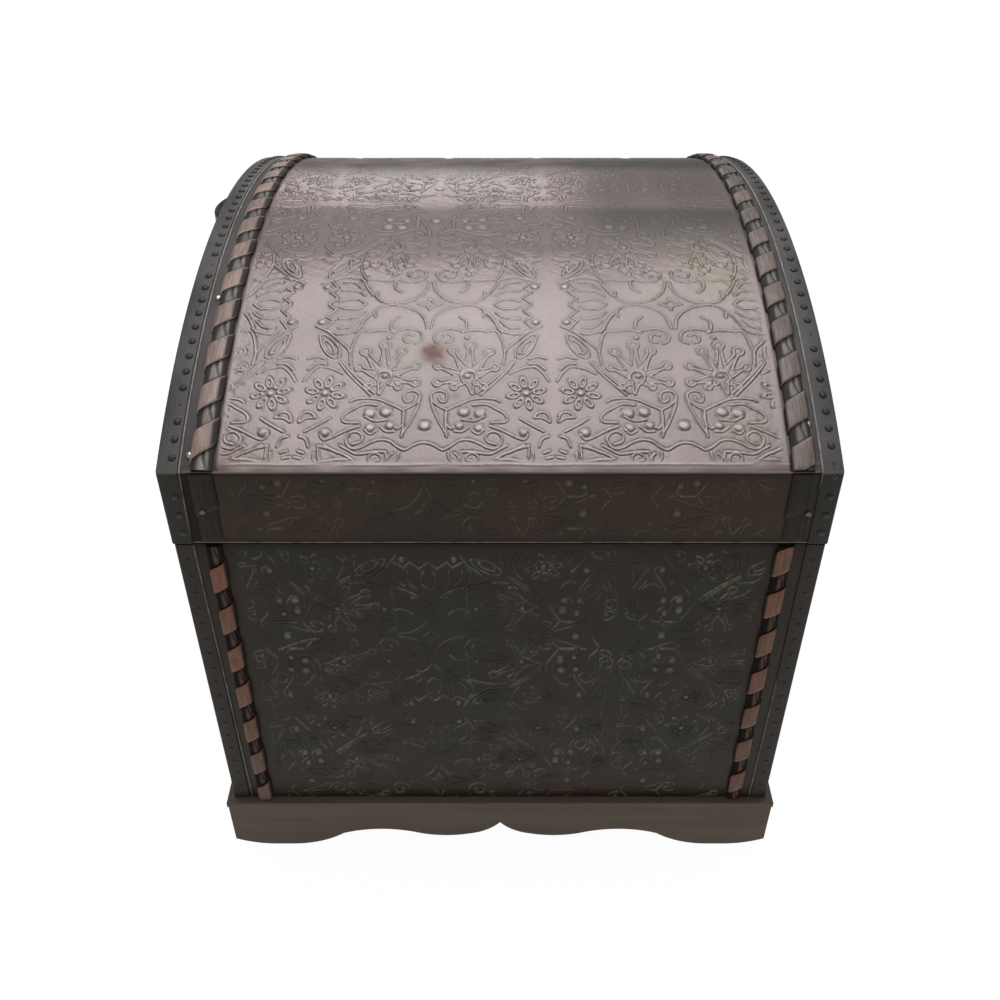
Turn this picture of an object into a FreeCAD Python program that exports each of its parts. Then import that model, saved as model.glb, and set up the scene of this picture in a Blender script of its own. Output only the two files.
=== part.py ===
import FreeCAD, Part

import math
import os

# Dome top trunk, in millimetres. The origin is the middle of the footprint on the floor. The
# front faces -Y, +X is the right-hand side and +Z is up. The case stands in a plinth, the lid
# turns on two butt hinges behind the rim, and a slotted stay stops it a little past upright.

V = FreeCAD.Vector
X_AXIS = V(1, 0, 0)
Z_AXIS = V(0, 0, 1)

# ---- overall sizes, the lid over its studded strips
LID_WIDTH = 460.0
LID_DEPTH = 530.0
LID_SKIRT = 64.0
DOME_RISE = 70.0
SEAM_GAP = 2.0
BODY_INSET = 1.0
BODY_HEIGHT = 293.0

# ---- boards and skins
PANEL = 10.0
CORNER_REBATE = 5.0
BOARD = 5.0
COVER = 1.0
LINING = 0.8
LINING_SET_BACK = 2.0
LINING_FIT = 0.2
FLOOR_PANEL = 8.0
FLOOR_GROOVE = 4.0
FLOOR_RAISE = 12.0

# ---- plinth
PLINTH_HEIGHT = 61.0
PLINTH_PROJECTION = 5.2
PLINTH_THICKNESS = 18.0
PLINTH_SEAT = 8.0
PLINTH_FIT = 0.1
BEAD_HEIGHT = 6.0
BEAD_PROJECTION = 0.8
BEAD_EASE = 0.5
CORNER_BLOCK = 30.0
CORNER_BLOCK_RAISE = 10.0
# The scalloped edge, right half, arc by arc: shares of the rail's half length and of its height.
# The foot is a rounded lobe: it comes down to a short flat and rises again toward the corner.
SCALLOP = (
    ((0.000, 0.525), (0.051, 0.344), (0.111, 0.254)),
    ((0.111, 0.254), (0.188, 0.210), (0.299, 0.262)),
    ((0.299, 0.262), (0.457, 0.364), (0.589, 0.262)),
    ((0.589, 0.262), (0.670, 0.082), (0.777, 0.000)),
)
FOOT_LOBE = ((0.854, 0.000), (0.931, 0.036), (1.000, 0.131))
SAW_RUN_OUT = 2.0

# ---- studded strips
STRIP = 1.2
LID_STRIP_WIDTH = 14.5
LID_STRIP_RETURN = 8.0
BODY_STRIP_WIDTH = 13.2
BODY_STRIP_RETURN = 9.0

# ---- whipped laces
LACE = 1.2
LACE_SLANT = 32.0
LACE_LIFT = 0.1
# Right half of the folded section, foot, shoulder and back, as shares of half width and height.
LACE_SECTION = ((1.0, 0.0), (0.86, 0.60), (0.42, 1.0))
DOME_LACE_WIDTH = 17.0
DOME_LACE_HEIGHT = 5.2
DOME_LACE_BAND = 18.5
DOME_CORE_RADIUS = 3.7
LEFT_DOME_LACE_INSET = 30.8
RIGHT_DOME_LACE_INSET = 27.0
LEFT_DOME_LACE_FIRST = 23.8
RIGHT_DOME_LACE_FIRST = 11.0
LEFT_DOME_LACE_PITCH = 36.0
RIGHT_DOME_LACE_PITCH = 35.0
BODY_LACE_WIDTH = 13.0
BODY_LACE_HEIGHT = 4.8
BODY_LACE_BAND = 24.0
BODY_CORE_RADIUS = 3.3
LEFT_BODY_LACE_INSET = 27.5
RIGHT_BODY_LACE_INSET = 28.0
LEFT_BODY_LACE_FIRST = 30.0
RIGHT_BODY_LACE_FIRST = 13.0
BODY_LACE_PITCH = 42.4
TAB_THICKNESS = 1.5
TAB_MARGIN = 1.5

# ---- hinges
HINGE_BEHIND = 2.5
HINGE_SPREAD = 130.0
HINGE_LENGTH = 60.0
HINGE_KNUCKLES = 3
HINGE_KNUCKLE_RADIUS = 2.2
HINGE_PIN_RADIUS = 1.1
HINGE_PIN_FIT = 0.05
HINGE_LEAF = 0.9
HINGE_LEAF_DEPTH = 14.0
HINGE_CLEARANCE = 0.3
HINGE_LAP = 0.6

# ---- rim pads
PAD_RADIUS = 3.5
PAD_HEIGHT = 1.9
PAD_FROM_BACK = 60.0
PAD_FROM_FRONT = 24.0

# ---- slotted stay on the right wall
STAY_RADIUS = 90.0
STAY_OFFSET = 15.0
STAY_OPENING = 95.0
STAY_ARM_THICKNESS = 2.0
STAY_ARM_WIDTH = 14.0
STAY_SHANK_RADIUS = 2.5
STAY_SHANK_FIT = 0.05
STAY_SLOT_FIT = 0.3
STAY_SIDE_PLAY = 0.3
STAY_END_PLAY = 0.4
STAY_HEAD_RADIUS = 4.5
STAY_HEAD = 1.4
STAY_COLLAR_RADIUS = 4.0
STAY_PLATE = 1.2
STAY_PLATE_WIDTH = 26.0
STAY_PLATE_HEIGHT = 22.0
STAY_BOSS = 0.3

# ---- strap handle on the left gable
HANDLE_LENGTH = 92.0
HANDLE_WIDTH = 20.0
HANDLE_THICKNESS = 3.0
HANDLE_STAND = 11.6
HANDLE_END = 14.0
HANDLE_BELOW_CROWN = 4.0
HANDLE_BACK = 30.0
HANDLE_CAP = 1.0

# ---- heights that follow
RIM = PLINTH_HEIGHT + BODY_HEIGHT
LID_BOTTOM = RIM + SEAM_GAP
CREASE = LID_BOTTOM + LID_SKIRT
CROWN = CREASE + DOME_RISE
SEAT = PLINTH_HEIGHT - PLINTH_SEAT
FLOOR_BOTTOM = SEAT + FLOOR_RAISE
FLOOR_TOP = FLOOR_BOTTOM + FLOOR_PANEL
DOME_RADIUS = ((LID_DEPTH / 2) ** 2 + DOME_RISE ** 2) / (2 * DOME_RISE)
DOME_CENTRE = CROWN - DOME_RADIUS
DOME_HALF_ANGLE = math.asin(LID_DEPTH / 2 / DOME_RADIUS)

# ---- half sizes of each skin, from the strips inward
SHELL = STRIP + COVER
LID_X = LID_WIDTH / 2
LID_Y = LID_DEPTH / 2
LID_COVER_X = LID_X - STRIP
LID_COVER_Y = LID_Y - STRIP
LID_CASE_X = LID_X - SHELL
LID_CASE_Y = LID_Y - SHELL
BODY_X = LID_X - BODY_INSET
BODY_Y = LID_Y - BODY_INSET
BODY_COVER_X = BODY_X - STRIP
BODY_COVER_Y = BODY_Y - STRIP
BODY_CASE_X = BODY_X - SHELL
BODY_CASE_Y = BODY_Y - SHELL
PLINTH_X = BODY_X + PLINTH_PROJECTION
PLINTH_Y = BODY_Y + PLINTH_PROJECTION
LID_LINED_X = LID_CASE_X - PANEL - LINING
BODY_LINED_X = BODY_CASE_X - PANEL - LINING

# ---- the hinge line, and the two pins of the stay on a circle about it
HINGE_Y = LID_Y + HINGE_BEHIND
HINGE_Z = RIM + SEAM_GAP / 2
STAY_Y = HINGE_Y - math.sqrt(STAY_RADIUS ** 2 - STAY_OFFSET ** 2)
STAY_PIVOT_Z = HINGE_Z + STAY_OFFSET
STAY_STUD_Z = HINGE_Z - STAY_OFFSET
STAY_CLOSED = 2 * STAY_OFFSET
STAY_HALF_OPEN = math.asin(STAY_OFFSET / STAY_RADIUS) + math.radians(STAY_OPENING) / 2
STAY_OPEN = 2 * STAY_RADIUS * math.sin(STAY_HALF_OPEN)
STAY_BOSS_X = BODY_LINED_X - STAY_PLATE - STAY_BOSS
STAY_ARM_X = STAY_BOSS_X - STAY_SIDE_PLAY - STAY_ARM_THICKNESS
STAY_HEAD_X = STAY_ARM_X - STAY_SIDE_PLAY - STAY_HEAD


# ---- small builders

def box(x0, x1, y0, y1, z0, z1):
    return Part.makeBox(x1 - x0, y1 - y0, z1 - z0, V(x0, y0, z0))


def flip_x(shape):
    return shape.mirror(V(0, 0, 0), X_AXIS)


def flip_y(shape):
    return shape.mirror(V(0, 0, 0), V(0, 1, 0))


def turned(shape, degrees, axis, centre=V(0, 0, 0)):
    copy = shape.copy()
    copy.rotate(centre, axis, degrees)
    return copy


def moved(shape, x, y, z):
    copy = shape.copy()
    copy.translate(V(x, y, z))
    return copy


def rod_x(radius, x0, x1, y, z):
    return Part.makeCylinder(radius, x1 - x0, V(x0, y, z), X_AXIS)


def prism(points, direction):
    corners = [V(*point) for point in points]
    wire = Part.makePolygon(corners + corners[:1])
    return Part.Face(wire).extrude(direction)


def arc(start, through, end):
    return Part.Arc(V(*start), V(*through), V(*end)).toShape()


def line(start, end):
    return Part.makeLine(V(*start), V(*end))


def fused(first, *others):
    return first.fuse(list(others)).removeSplitter()


# ---- lid outline: upright ends under one long arc

def dome_block(side_inset, top_inset, bottom, x0, x1):
    """Solid under the dome from x0 to x1, its ends and its arc set in from the strips."""
    half = LID_Y - side_inset
    radius = DOME_RADIUS - top_inset
    spring = DOME_CENTRE + math.sqrt(radius ** 2 - half ** 2)
    crown = DOME_CENTRE + radius
    outline = Part.Wire([
        line((x0, half, bottom), (x0, -half, bottom)),
        line((x0, -half, bottom), (x0, -half, spring)),
        arc((x0, -half, spring), (x0, 0, crown), (x0, half, spring)),
        line((x0, half, spring), (x0, half, bottom)),
    ])
    return Part.Face(outline).extrude(V(x1 - x0, 0, 0))


def along_dome(shape, run):
    """Carries a piece built at the crown round the dome to a run from the front crease."""
    angle = math.degrees(DOME_HALF_ANGLE - run / DOME_RADIUS)
    return turned(shape, angle, X_AXIS, V(0, 0, DOME_CENTRE))


# ---- case work

def case_walls(half_x, half_y, low, high):
    """Front, back, left and right boards, the side boards let into end rebates."""
    inner_x = half_x - PANEL
    inner_y = half_y - PANEL
    side_y = inner_y + CORNER_REBATE
    right = box(inner_x, half_x, -side_y, side_y, low, high)
    left = flip_x(right)
    front = box(-half_x, half_x, -half_y, -inner_y, low, high).cut(right).cut(left)
    return front, flip_y(front), left, right


def floor_board():
    half_x = BODY_CASE_X - PANEL + FLOOR_GROOVE
    half_y = BODY_CASE_Y - PANEL + FLOOR_GROOVE
    return box(-half_x, half_x, -half_y, half_y, FLOOR_BOTTOM, FLOOR_TOP)


def body_walls():
    grooves = floor_board()
    walls = case_walls(BODY_CASE_X, BODY_CASE_Y, SEAT, RIM)
    return [wall.cut(grooves) for wall in walls]


def lid_walls():
    under_board = dome_block(SHELL, SHELL + BOARD, LID_BOTTOM, -LID_CASE_X, LID_CASE_X)
    walls = case_walls(LID_CASE_X, LID_CASE_Y, LID_BOTTOM, CROWN)
    return [wall.common(under_board) for wall in walls]


def top_board():
    outer = dome_block(SHELL, SHELL, LID_BOTTOM, -LID_CASE_X, LID_CASE_X)
    inner = dome_block(0, SHELL + BOARD, LID_BOTTOM - 1, -LID_X, LID_X)
    return outer.cut(inner)


def body_covers():
    front = box(-BODY_COVER_X, BODY_COVER_X, -BODY_COVER_Y, -BODY_CASE_Y, SEAT, RIM)
    right = box(BODY_CASE_X, BODY_COVER_X, -BODY_CASE_Y, BODY_CASE_Y, SEAT, RIM)
    return front, flip_y(front), flip_x(right), right


def lid_covers():
    under_top = dome_block(STRIP, SHELL, LID_BOTTOM, -LID_CASE_X, LID_CASE_X)
    front = box(-LID_CASE_X, LID_CASE_X, -LID_COVER_Y, -LID_CASE_Y, LID_BOTTOM, CROWN)
    front = front.common(under_top)
    right = dome_block(STRIP, STRIP, LID_BOTTOM, LID_CASE_X, LID_COVER_X)
    top = dome_block(STRIP, STRIP, LID_BOTTOM, -LID_CASE_X, LID_CASE_X)
    top = top.cut(dome_block(0, SHELL, LID_BOTTOM - 1, -LID_X, LID_X))
    return front, flip_y(front), flip_x(right), right, top


def body_lining():
    half_x = BODY_CASE_X - PANEL
    half_y = BODY_CASE_Y - PANEL
    top = RIM - LINING_SET_BACK
    outer = box(-half_x, half_x, -half_y, half_y, FLOOR_TOP, top)
    return outer.cut(box(
        LINING - half_x, half_x - LINING, LINING - half_y, half_y - LINING, FLOOR_TOP + LINING, RIM,
    ))


def lid_lining():
    side = SHELL + PANEL
    top = SHELL + BOARD + LINING_FIT
    half_x = LID_CASE_X - PANEL
    low = LID_BOTTOM + LINING_SET_BACK
    outer = dome_block(side, top, low, -half_x, half_x)
    inner = dome_block(side + LINING, top + LINING, LID_BOTTOM, LINING - half_x, half_x - LINING)
    return outer.cut(inner)


# ---- plinth

def scallop_cutter(half_length, depth):
    """All that is sawn away under a rail, drawn about X = 0 and pushed through along Y."""
    edges = []
    for side in (-1, 1):
        for points in SCALLOP + (FOOT_LOBE,):
            ends = [(side * x * half_length, -depth, z * PLINTH_HEIGHT) for x, z in points]
            edges.append(arc(*ends))
        heel = (side * SCALLOP[-1][-1][0] * half_length, -depth, 0)
        toe = (side * FOOT_LOBE[0][0] * half_length, -depth, 0)
        raised = FOOT_LOBE[-1][1] * PLINTH_HEIGHT
        corner = (side * half_length, -depth, raised)
        outside = (side * (half_length + SAW_RUN_OUT), -depth, raised)
        edges += [line(heel, toe), line(corner, outside)]
        edges.append(line(outside, (outside[0], -depth, -SAW_RUN_OUT)))
    low = half_length + SAW_RUN_OUT
    edges.append(line((-low, -depth, -SAW_RUN_OUT), (low, -depth, -SAW_RUN_OUT)))
    outline = Part.Wire(Part.sortEdges(edges)[0])
    return Part.Face(outline).extrude(V(0, 2 * depth, 0))


def plinth_rail(half_length, half_span, lip):
    """A rail on the front side: outer face at -half_span, mitred at +-half_length."""
    beyond = PLINTH_THICKNESS
    bead_low = PLINTH_HEIGHT - BEAD_HEIGHT
    section = [
        (-PLINTH_THICKNESS, 0),
        (0, 0),
        (0, bead_low),
        (BEAD_PROJECTION, bead_low + BEAD_EASE),
        (BEAD_PROJECTION, PLINTH_HEIGHT - BEAD_EASE),
        (BEAD_PROJECTION - BEAD_EASE, PLINTH_HEIGHT),
        (-lip, PLINTH_HEIGHT),
        (-lip, SEAT),
        (-PLINTH_THICKNESS, SEAT),
    ]
    start = -half_length - beyond
    points = [(start, -half_span - out, z) for out, z in section]
    bar = prism(points, V(-2 * start, 0, 0))
    inner_x = half_length - 2 * beyond
    wedge = prism([
        (start, -half_span - beyond, 0),
        (-start, -half_span - beyond, 0),
        (inner_x, 2 * beyond - half_span, 0),
        (-inner_x, 2 * beyond - half_span, 0),
    ], V(0, 0, PLINTH_HEIGHT))
    rail = bar.common(wedge)
    return rail.cut(scallop_cutter(half_length, half_span + 2 * beyond))


def plinth_rails():
    lip_x = PLINTH_X - BODY_COVER_X - PLINTH_FIT
    lip_y = PLINTH_Y - BODY_COVER_Y - PLINTH_FIT
    front = plinth_rail(PLINTH_X, PLINTH_Y, lip_y)
    side = plinth_rail(PLINTH_Y, PLINTH_X, lip_x)
    right = turned(side, 90, Z_AXIS)
    return front, flip_y(front), flip_x(right), right


def corner_blocks():
    x = PLINTH_X - PLINTH_THICKNESS
    y = PLINTH_Y - PLINTH_THICKNESS
    low = CORNER_BLOCK_RAISE
    corners = [(x, y, low), (x - CORNER_BLOCK, y, low), (x, y - CORNER_BLOCK, low)]
    block = prism(corners, V(0, 0, SEAT - low))
    pair = [block, flip_x(block)]
    return Part.makeCompound(pair + [flip_y(one) for one in pair])


# ---- studded strips

def corner_strip(width):
    """L section on the front right corner, from the plinth to the rim."""
    low = PLINTH_HEIGHT
    flat = box(BODY_X - width, BODY_X, -BODY_Y, -BODY_COVER_Y, low, RIM)
    side = box(BODY_COVER_X, BODY_X, -BODY_Y, BODY_STRIP_RETURN - BODY_Y, low, RIM)
    return fused(flat, side)


def lid_strip():
    """Strip round the right end of the lid, with a narrow return down the gable."""
    x0 = LID_X - LID_STRIP_WIDTH
    flat = dome_block(0, 0, LID_BOTTOM, x0, LID_X)
    flat = flat.cut(dome_block(STRIP, STRIP, LID_BOTTOM - 1, x0 - 1, LID_X + 1))
    side = dome_block(0, 0, LID_BOTTOM, LID_COVER_X, LID_X)
    inset = LID_STRIP_RETURN
    side = side.cut(dome_block(inset, inset, LID_BOTTOM - 1, LID_COVER_X - 1, LID_X + 1))
    return fused(flat, side)


# ---- whipped laces

def bow(half, height):
    """Upright section on the XZ plane: a flat foot, rising sides, shoulders and a flat back."""
    right = [V(across * half, 0, up * height) for across, up in LACE_SECTION]
    left = [V(-corner.x, 0, corner.z) for corner in reversed(right)]
    return Part.makePolygon(right + left + right[:1])


def lace_turn(width, height, band):
    """One visible turn of lace over its core, the rope along Y and the feet on Z = 0."""
    rise = math.tan(math.radians(LACE_SLANT)) * width / 2
    reach = band / 2 + rise
    outer = Part.Face(bow(width / 2, height))
    inner = Part.Face(bow(width / 2 - LACE, height - LACE))
    arch = moved(outer.cut(inner), 0, -reach, 0).extrude(V(0, 2 * reach, 0))
    slanted = prism([
        (-width / 2, -band / 2 - rise, 0),
        (width / 2, -band / 2 + rise, 0),
        (width / 2, band / 2 + rise, 0),
        (-width / 2, band / 2 - rise, 0),
    ], V(0, 0, height))
    return arch.common(slanted)


def dome_lace(x, first, pitch):
    """Every turn that fits between the two creases, kept clear of both ends."""
    turn = lace_turn(DOME_LACE_WIDTH, DOME_LACE_HEIGHT, DOME_LACE_BAND)
    turn = moved(turn, x, 0, CROWN - STRIP + LACE_LIFT)
    whole = 2 * DOME_HALF_ANGLE * DOME_RADIUS
    room = box(x - DOME_LACE_WIDTH, x + DOME_LACE_WIDTH, -LID_COVER_Y, LID_COVER_Y, 0, 2 * CROWN)
    turns = []
    run = first
    while run < whole - DOME_LACE_BAND / 2:
        turns.append(along_dome(turn, run).common(room))
        run += pitch
    return Part.makeCompound(turns)


def dome_core(x):
    """Half round core, bent over the dome from crease to crease."""
    base = CROWN - STRIP + LACE_LIFT
    profile = moved(Part.Face(bow(DOME_CORE_RADIUS, DOME_CORE_RADIUS)), x, 0, base)
    half = math.degrees(math.asin(LID_COVER_Y / (DOME_RADIUS + DOME_CORE_RADIUS)))
    centre = V(0, 0, DOME_CENTRE)
    return turned(profile, half, X_AXIS, centre).revolve(centre, X_AXIS, -2 * half)


def body_lace(x, first):
    """Turns down the front of the body from the rim to the plinth, clipped at both."""
    turn = lace_turn(BODY_LACE_WIDTH, BODY_LACE_HEIGHT, BODY_LACE_BAND)
    turn = turned(turn, 90, X_AXIS)
    face = -BODY_COVER_Y - LACE_LIFT
    room = box(x - BODY_LACE_WIDTH, x + BODY_LACE_WIDTH, 2 * face, face, PLINTH_HEIGHT, RIM)
    turns = []
    z = RIM - first
    while z > PLINTH_HEIGHT:
        turns.append(moved(turn, x, face, z).common(room))
        z -= BODY_LACE_PITCH
    return Part.makeCompound(turns)


def body_core(x):
    rope = Part.Face(bow(BODY_CORE_RADIUS, BODY_CORE_RADIUS)).extrude(V(0, BODY_HEIGHT, 0))
    return moved(turned(rope, 90, X_AXIS), x, -BODY_COVER_Y - LACE_LIFT, PLINTH_HEIGHT)


def lace_tab(x):
    """Flat nailed end of a dome lace on the front skirt of the lid."""
    half = DOME_LACE_WIDTH / 2
    low = LID_BOTTOM + TAB_MARGIN
    high = CREASE - TAB_MARGIN
    return box(x - half, x + half, -LID_COVER_Y - TAB_THICKNESS, -LID_COVER_Y, low, high)


def lace_tabs():
    front = [lace_tab(LEFT_DOME_LACE_INSET - LID_X), lace_tab(LID_X - RIGHT_DOME_LACE_INSET)]
    return Part.makeCompound(front + [flip_y(tab) for tab in front])


# ---- hinges

def knuckle_spans(x, odd):
    step = HINGE_LENGTH / HINGE_KNUCKLES
    first = x - HINGE_LENGTH / 2
    gap = HINGE_CLEARANCE / 2
    spans = []
    for index in range(HINGE_KNUCKLES):
        if index % 2 == odd:
            spans.append((first + index * step + gap, first + (index + 1) * step - gap))
    return spans


def hinge_leaf(x, upper):
    """One leaf with its knuckles; the upper one lies on the lid's side of the seam."""
    low = HINGE_Z + SEAM_GAP / 2 - HINGE_LEAF if upper else RIM
    high = low + HINGE_LEAF
    edge = HINGE_Y - HINGE_KNUCKLE_RADIUS - HINGE_CLEARANCE
    half = HINGE_LENGTH / 2
    leaf = box(x - half, x + half, edge - HINGE_LEAF_DEPTH, edge, low, high)
    root = HINGE_Y - HINGE_KNUCKLE_RADIUS + HINGE_LAP
    bores = []
    for x0, x1 in knuckle_spans(x, 1 if upper else 0):
        tongue = box(x0, x1, edge, root, low, high)
        leaf = leaf.fuse([tongue, rod_x(HINGE_KNUCKLE_RADIUS, x0, x1, HINGE_Y, HINGE_Z)])
        bores.append(rod_x(HINGE_PIN_RADIUS + HINGE_PIN_FIT, x0, x1, HINGE_Y, HINGE_Z))
    return leaf.cut(bores).removeSplitter()


def hinge_pins():
    half = HINGE_LENGTH / 2
    middles = (-HINGE_SPREAD, HINGE_SPREAD)
    pins = [rod_x(HINGE_PIN_RADIUS, x - half, x + half, HINGE_Y, HINGE_Z) for x in middles]
    return Part.makeCompound(pins)


def rim_pads():
    pads = []
    x = BODY_CASE_X - PAD_RADIUS
    for y in (PAD_FROM_FRONT - BODY_CASE_Y, BODY_CASE_Y - PAD_FROM_BACK):
        pad = Part.makeCylinder(PAD_RADIUS, PAD_HEIGHT, V(x, y, RIM))
        pads += [pad, flip_x(pad)]
    return Part.makeCompound(pads)


# ---- stay

def stay_plate(wall_x, z, collar_x, collar_radius):
    """Wall plate with a collar toward the arm, bored for its pin."""
    face = wall_x - STAY_PLATE
    half_y = STAY_PLATE_WIDTH / 2
    half_z = STAY_PLATE_HEIGHT / 2
    plate = box(face, wall_x, STAY_Y - half_y, STAY_Y + half_y, z - half_z, z + half_z)
    collar = rod_x(collar_radius, collar_x, face, STAY_Y, z)
    bore = rod_x(STAY_SHANK_RADIUS + STAY_SHANK_FIT, collar_x, wall_x, STAY_Y, z)
    return plate.fuse(collar).cut(bore).removeSplitter()


def stay_pin(wall_x, z):
    """Headed pin from the wall through the plate and the arm."""
    shank_x = STAY_HEAD_X + STAY_HEAD
    shank = rod_x(STAY_SHANK_RADIUS, shank_x, wall_x, STAY_Y, z)
    head = rod_x(STAY_HEAD_RADIUS, STAY_HEAD_X, shank_x, STAY_Y, z)
    return shank.fuse(head)


def stay_slot(radius, low, high, x0, x1):
    """Round-ended bar from low to high on the arm's line, for the arm and for its slot."""
    ends = [rod_x(radius, x0, x1, STAY_Y, z) for z in (low, high)]
    return box(x0, x1, STAY_Y - radius, STAY_Y + radius, low, high).fuse(ends)


def stay_arm():
    x0 = STAY_ARM_X
    x1 = STAY_ARM_X + STAY_ARM_THICKNESS
    slot_high = STAY_PIVOT_Z - STAY_CLOSED + STAY_END_PLAY
    slot_low = STAY_PIVOT_Z - STAY_OPEN - STAY_END_PLAY
    blank = stay_slot(STAY_ARM_WIDTH / 2, slot_low, STAY_PIVOT_Z, x0, x1)
    slot = stay_slot(STAY_SHANK_RADIUS + STAY_SLOT_FIT, slot_low, slot_high, x0, x1)
    bore = rod_x(STAY_SHANK_RADIUS + STAY_SHANK_FIT, x0, x1, STAY_Y, STAY_PIVOT_Z)
    return blank.cut([slot, bore]).removeSplitter()


# ---- handle

def handle_frame(shape):
    """From a place at the crown to its place toward the back of the left gable."""
    angle = -math.degrees(math.asin(HANDLE_BACK / DOME_RADIUS))
    return turned(shape, angle, X_AXIS, V(0, 0, DOME_CENTRE))


def handle_top():
    half = HANDLE_LENGTH / 2
    edge = DOME_RADIUS - LID_STRIP_RETURN - HANDLE_BELOW_CROWN
    return DOME_CENTRE + math.sqrt(edge ** 2 - half ** 2) + HANDLE_CAP


def side_handle():
    wall = -LID_COVER_X
    flat = wall - HANDLE_THICKNESS
    half = HANDLE_LENGTH / 2
    foot = half - HANDLE_END
    heel = foot + HANDLE_THICKNESS
    z = handle_top() - HANDLE_WIDTH
    outline = Part.Wire([
        line((wall, -half, z), (flat, -half, z)),
        line((flat, -half, z), (flat, -foot, z)),
        arc((flat, -foot, z), (flat - HANDLE_STAND, 0, z), (flat, foot, z)),
        line((flat, foot, z), (flat, half, z)),
        line((flat, half, z), (wall, half, z)),
        line((wall, half, z), (wall, heel, z)),
        arc((wall, heel, z), (wall - HANDLE_STAND, 0, z), (wall, -heel, z)),
        line((wall, -heel, z), (wall, -half, z)),
    ])
    return handle_frame(Part.Face(outline).extrude(V(0, 0, HANDLE_WIDTH)))


def handle_caps():
    wall = -LID_COVER_X
    half = HANDLE_LENGTH / 2
    heel = half - HANDLE_END + HANDLE_THICKNESS
    high = handle_top()
    low = high - HANDLE_WIDTH
    cap = HANDLE_CAP
    outside = wall - HANDLE_THICKNESS - cap
    shell = box(outside, wall, heel, half + cap, low - cap, high + cap)
    shell = shell.cut(box(outside + cap, wall, heel, half, low, high))
    pair = Part.makeCompound([shell, flip_y(shell)])
    return handle_frame(pair)


# ---- all nodes

def trunk_nodes():
    nodes = {"bottom_panel": floor_board()}
    sides = ("front", "back", "left", "right")
    nodes.update(zip([side + "_panel" for side in sides], body_walls()))
    nodes.update(zip(["plinth_" + side for side in sides], plinth_rails()))
    nodes.update(zip([side + "_cover" for side in sides], body_covers()))
    nodes["corner_blocks"] = corner_blocks()
    nodes["body_lining"] = body_lining()
    right = corner_strip(BODY_STRIP_WIDTH)
    left = flip_x(right)
    nodes["corner_strip_front_left"] = left
    nodes["corner_strip_front_right"] = right
    nodes["corner_strip_back_left"] = flip_y(left)
    nodes["corner_strip_back_right"] = flip_y(right)
    left_x = LEFT_BODY_LACE_INSET - BODY_X
    right_x = BODY_X - RIGHT_BODY_LACE_INSET
    nodes["front_lace_core_left"] = body_core(left_x)
    nodes["front_lace_core_right"] = body_core(right_x)
    nodes["front_lace_left"] = body_lace(left_x, LEFT_BODY_LACE_FIRST)
    nodes["front_lace_right"] = body_lace(right_x, RIGHT_BODY_LACE_FIRST)
    nodes["hinge_leaf_lower_left"] = hinge_leaf(-HINGE_SPREAD, False)
    nodes["hinge_leaf_lower_right"] = hinge_leaf(HINGE_SPREAD, False)
    nodes["hinge_pins"] = hinge_pins()
    nodes["rim_pads"] = rim_pads()
    nodes["stay_body_plate"] = stay_plate(
        BODY_LINED_X, STAY_STUD_Z, STAY_BOSS_X, STAY_COLLAR_RADIUS,
    )
    nodes["stay_stud"] = stay_pin(BODY_LINED_X, STAY_STUD_Z)
    return nodes


def lid_nodes():
    nodes = {"lid_top_board": top_board()}
    walls = ("lid_front_rail", "lid_back_rail", "lid_left_gable", "lid_right_gable")
    nodes.update(zip(walls, lid_walls()))
    sides = ("front", "back", "left", "right", "top")
    nodes.update(zip(["lid_" + side + "_cover" for side in sides], lid_covers()))
    nodes["lid_lining"] = lid_lining()
    nodes["lid_strip_right"] = lid_strip()
    nodes["lid_strip_left"] = flip_x(lid_strip())
    left_x = LEFT_DOME_LACE_INSET - LID_X
    right_x = LID_X - RIGHT_DOME_LACE_INSET
    nodes["dome_lace_core_left"] = dome_core(left_x)
    nodes["dome_lace_core_right"] = dome_core(right_x)
    nodes["dome_lace_left"] = dome_lace(left_x, LEFT_DOME_LACE_FIRST, LEFT_DOME_LACE_PITCH)
    nodes["dome_lace_right"] = dome_lace(right_x, RIGHT_DOME_LACE_FIRST, RIGHT_DOME_LACE_PITCH)
    nodes["lace_tabs"] = lace_tabs()
    nodes["hinge_leaf_upper_left"] = hinge_leaf(-HINGE_SPREAD, True)
    nodes["hinge_leaf_upper_right"] = hinge_leaf(HINGE_SPREAD, True)
    nodes["stay_lid_plate"] = stay_plate(
        LID_LINED_X, STAY_PIVOT_Z, STAY_BOSS_X, STAY_COLLAR_RADIUS,
    )
    nodes["stay_pivot_pin"] = stay_pin(LID_LINED_X, STAY_PIVOT_Z)
    nodes["side_handle"] = side_handle()
    nodes["side_handle_caps"] = handle_caps()
    return nodes


def write_nodes():
    os.makedirs("parts", exist_ok=True)
    nodes = trunk_nodes()
    nodes.update(lid_nodes())
    nodes["stay_arm"] = stay_arm()
    for name, shape in nodes.items():
        shape.exportStep(os.path.join("parts", name + ".step"))


write_nodes()
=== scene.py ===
# %% [markdown]
# # A dome top trunk, dressed over its joiner's model
# The joiner's model gives every board, strip, lace and hinge as a plain solid in its true place.
# It is loaded first and stays as it is. The cells below put the upholsterer's work over it: the
# embossed leathercloth, the studded strips, the whipped lace edging, the strap handle and the
# stained plinth.

# %% Load the joiner's model
import math

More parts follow.
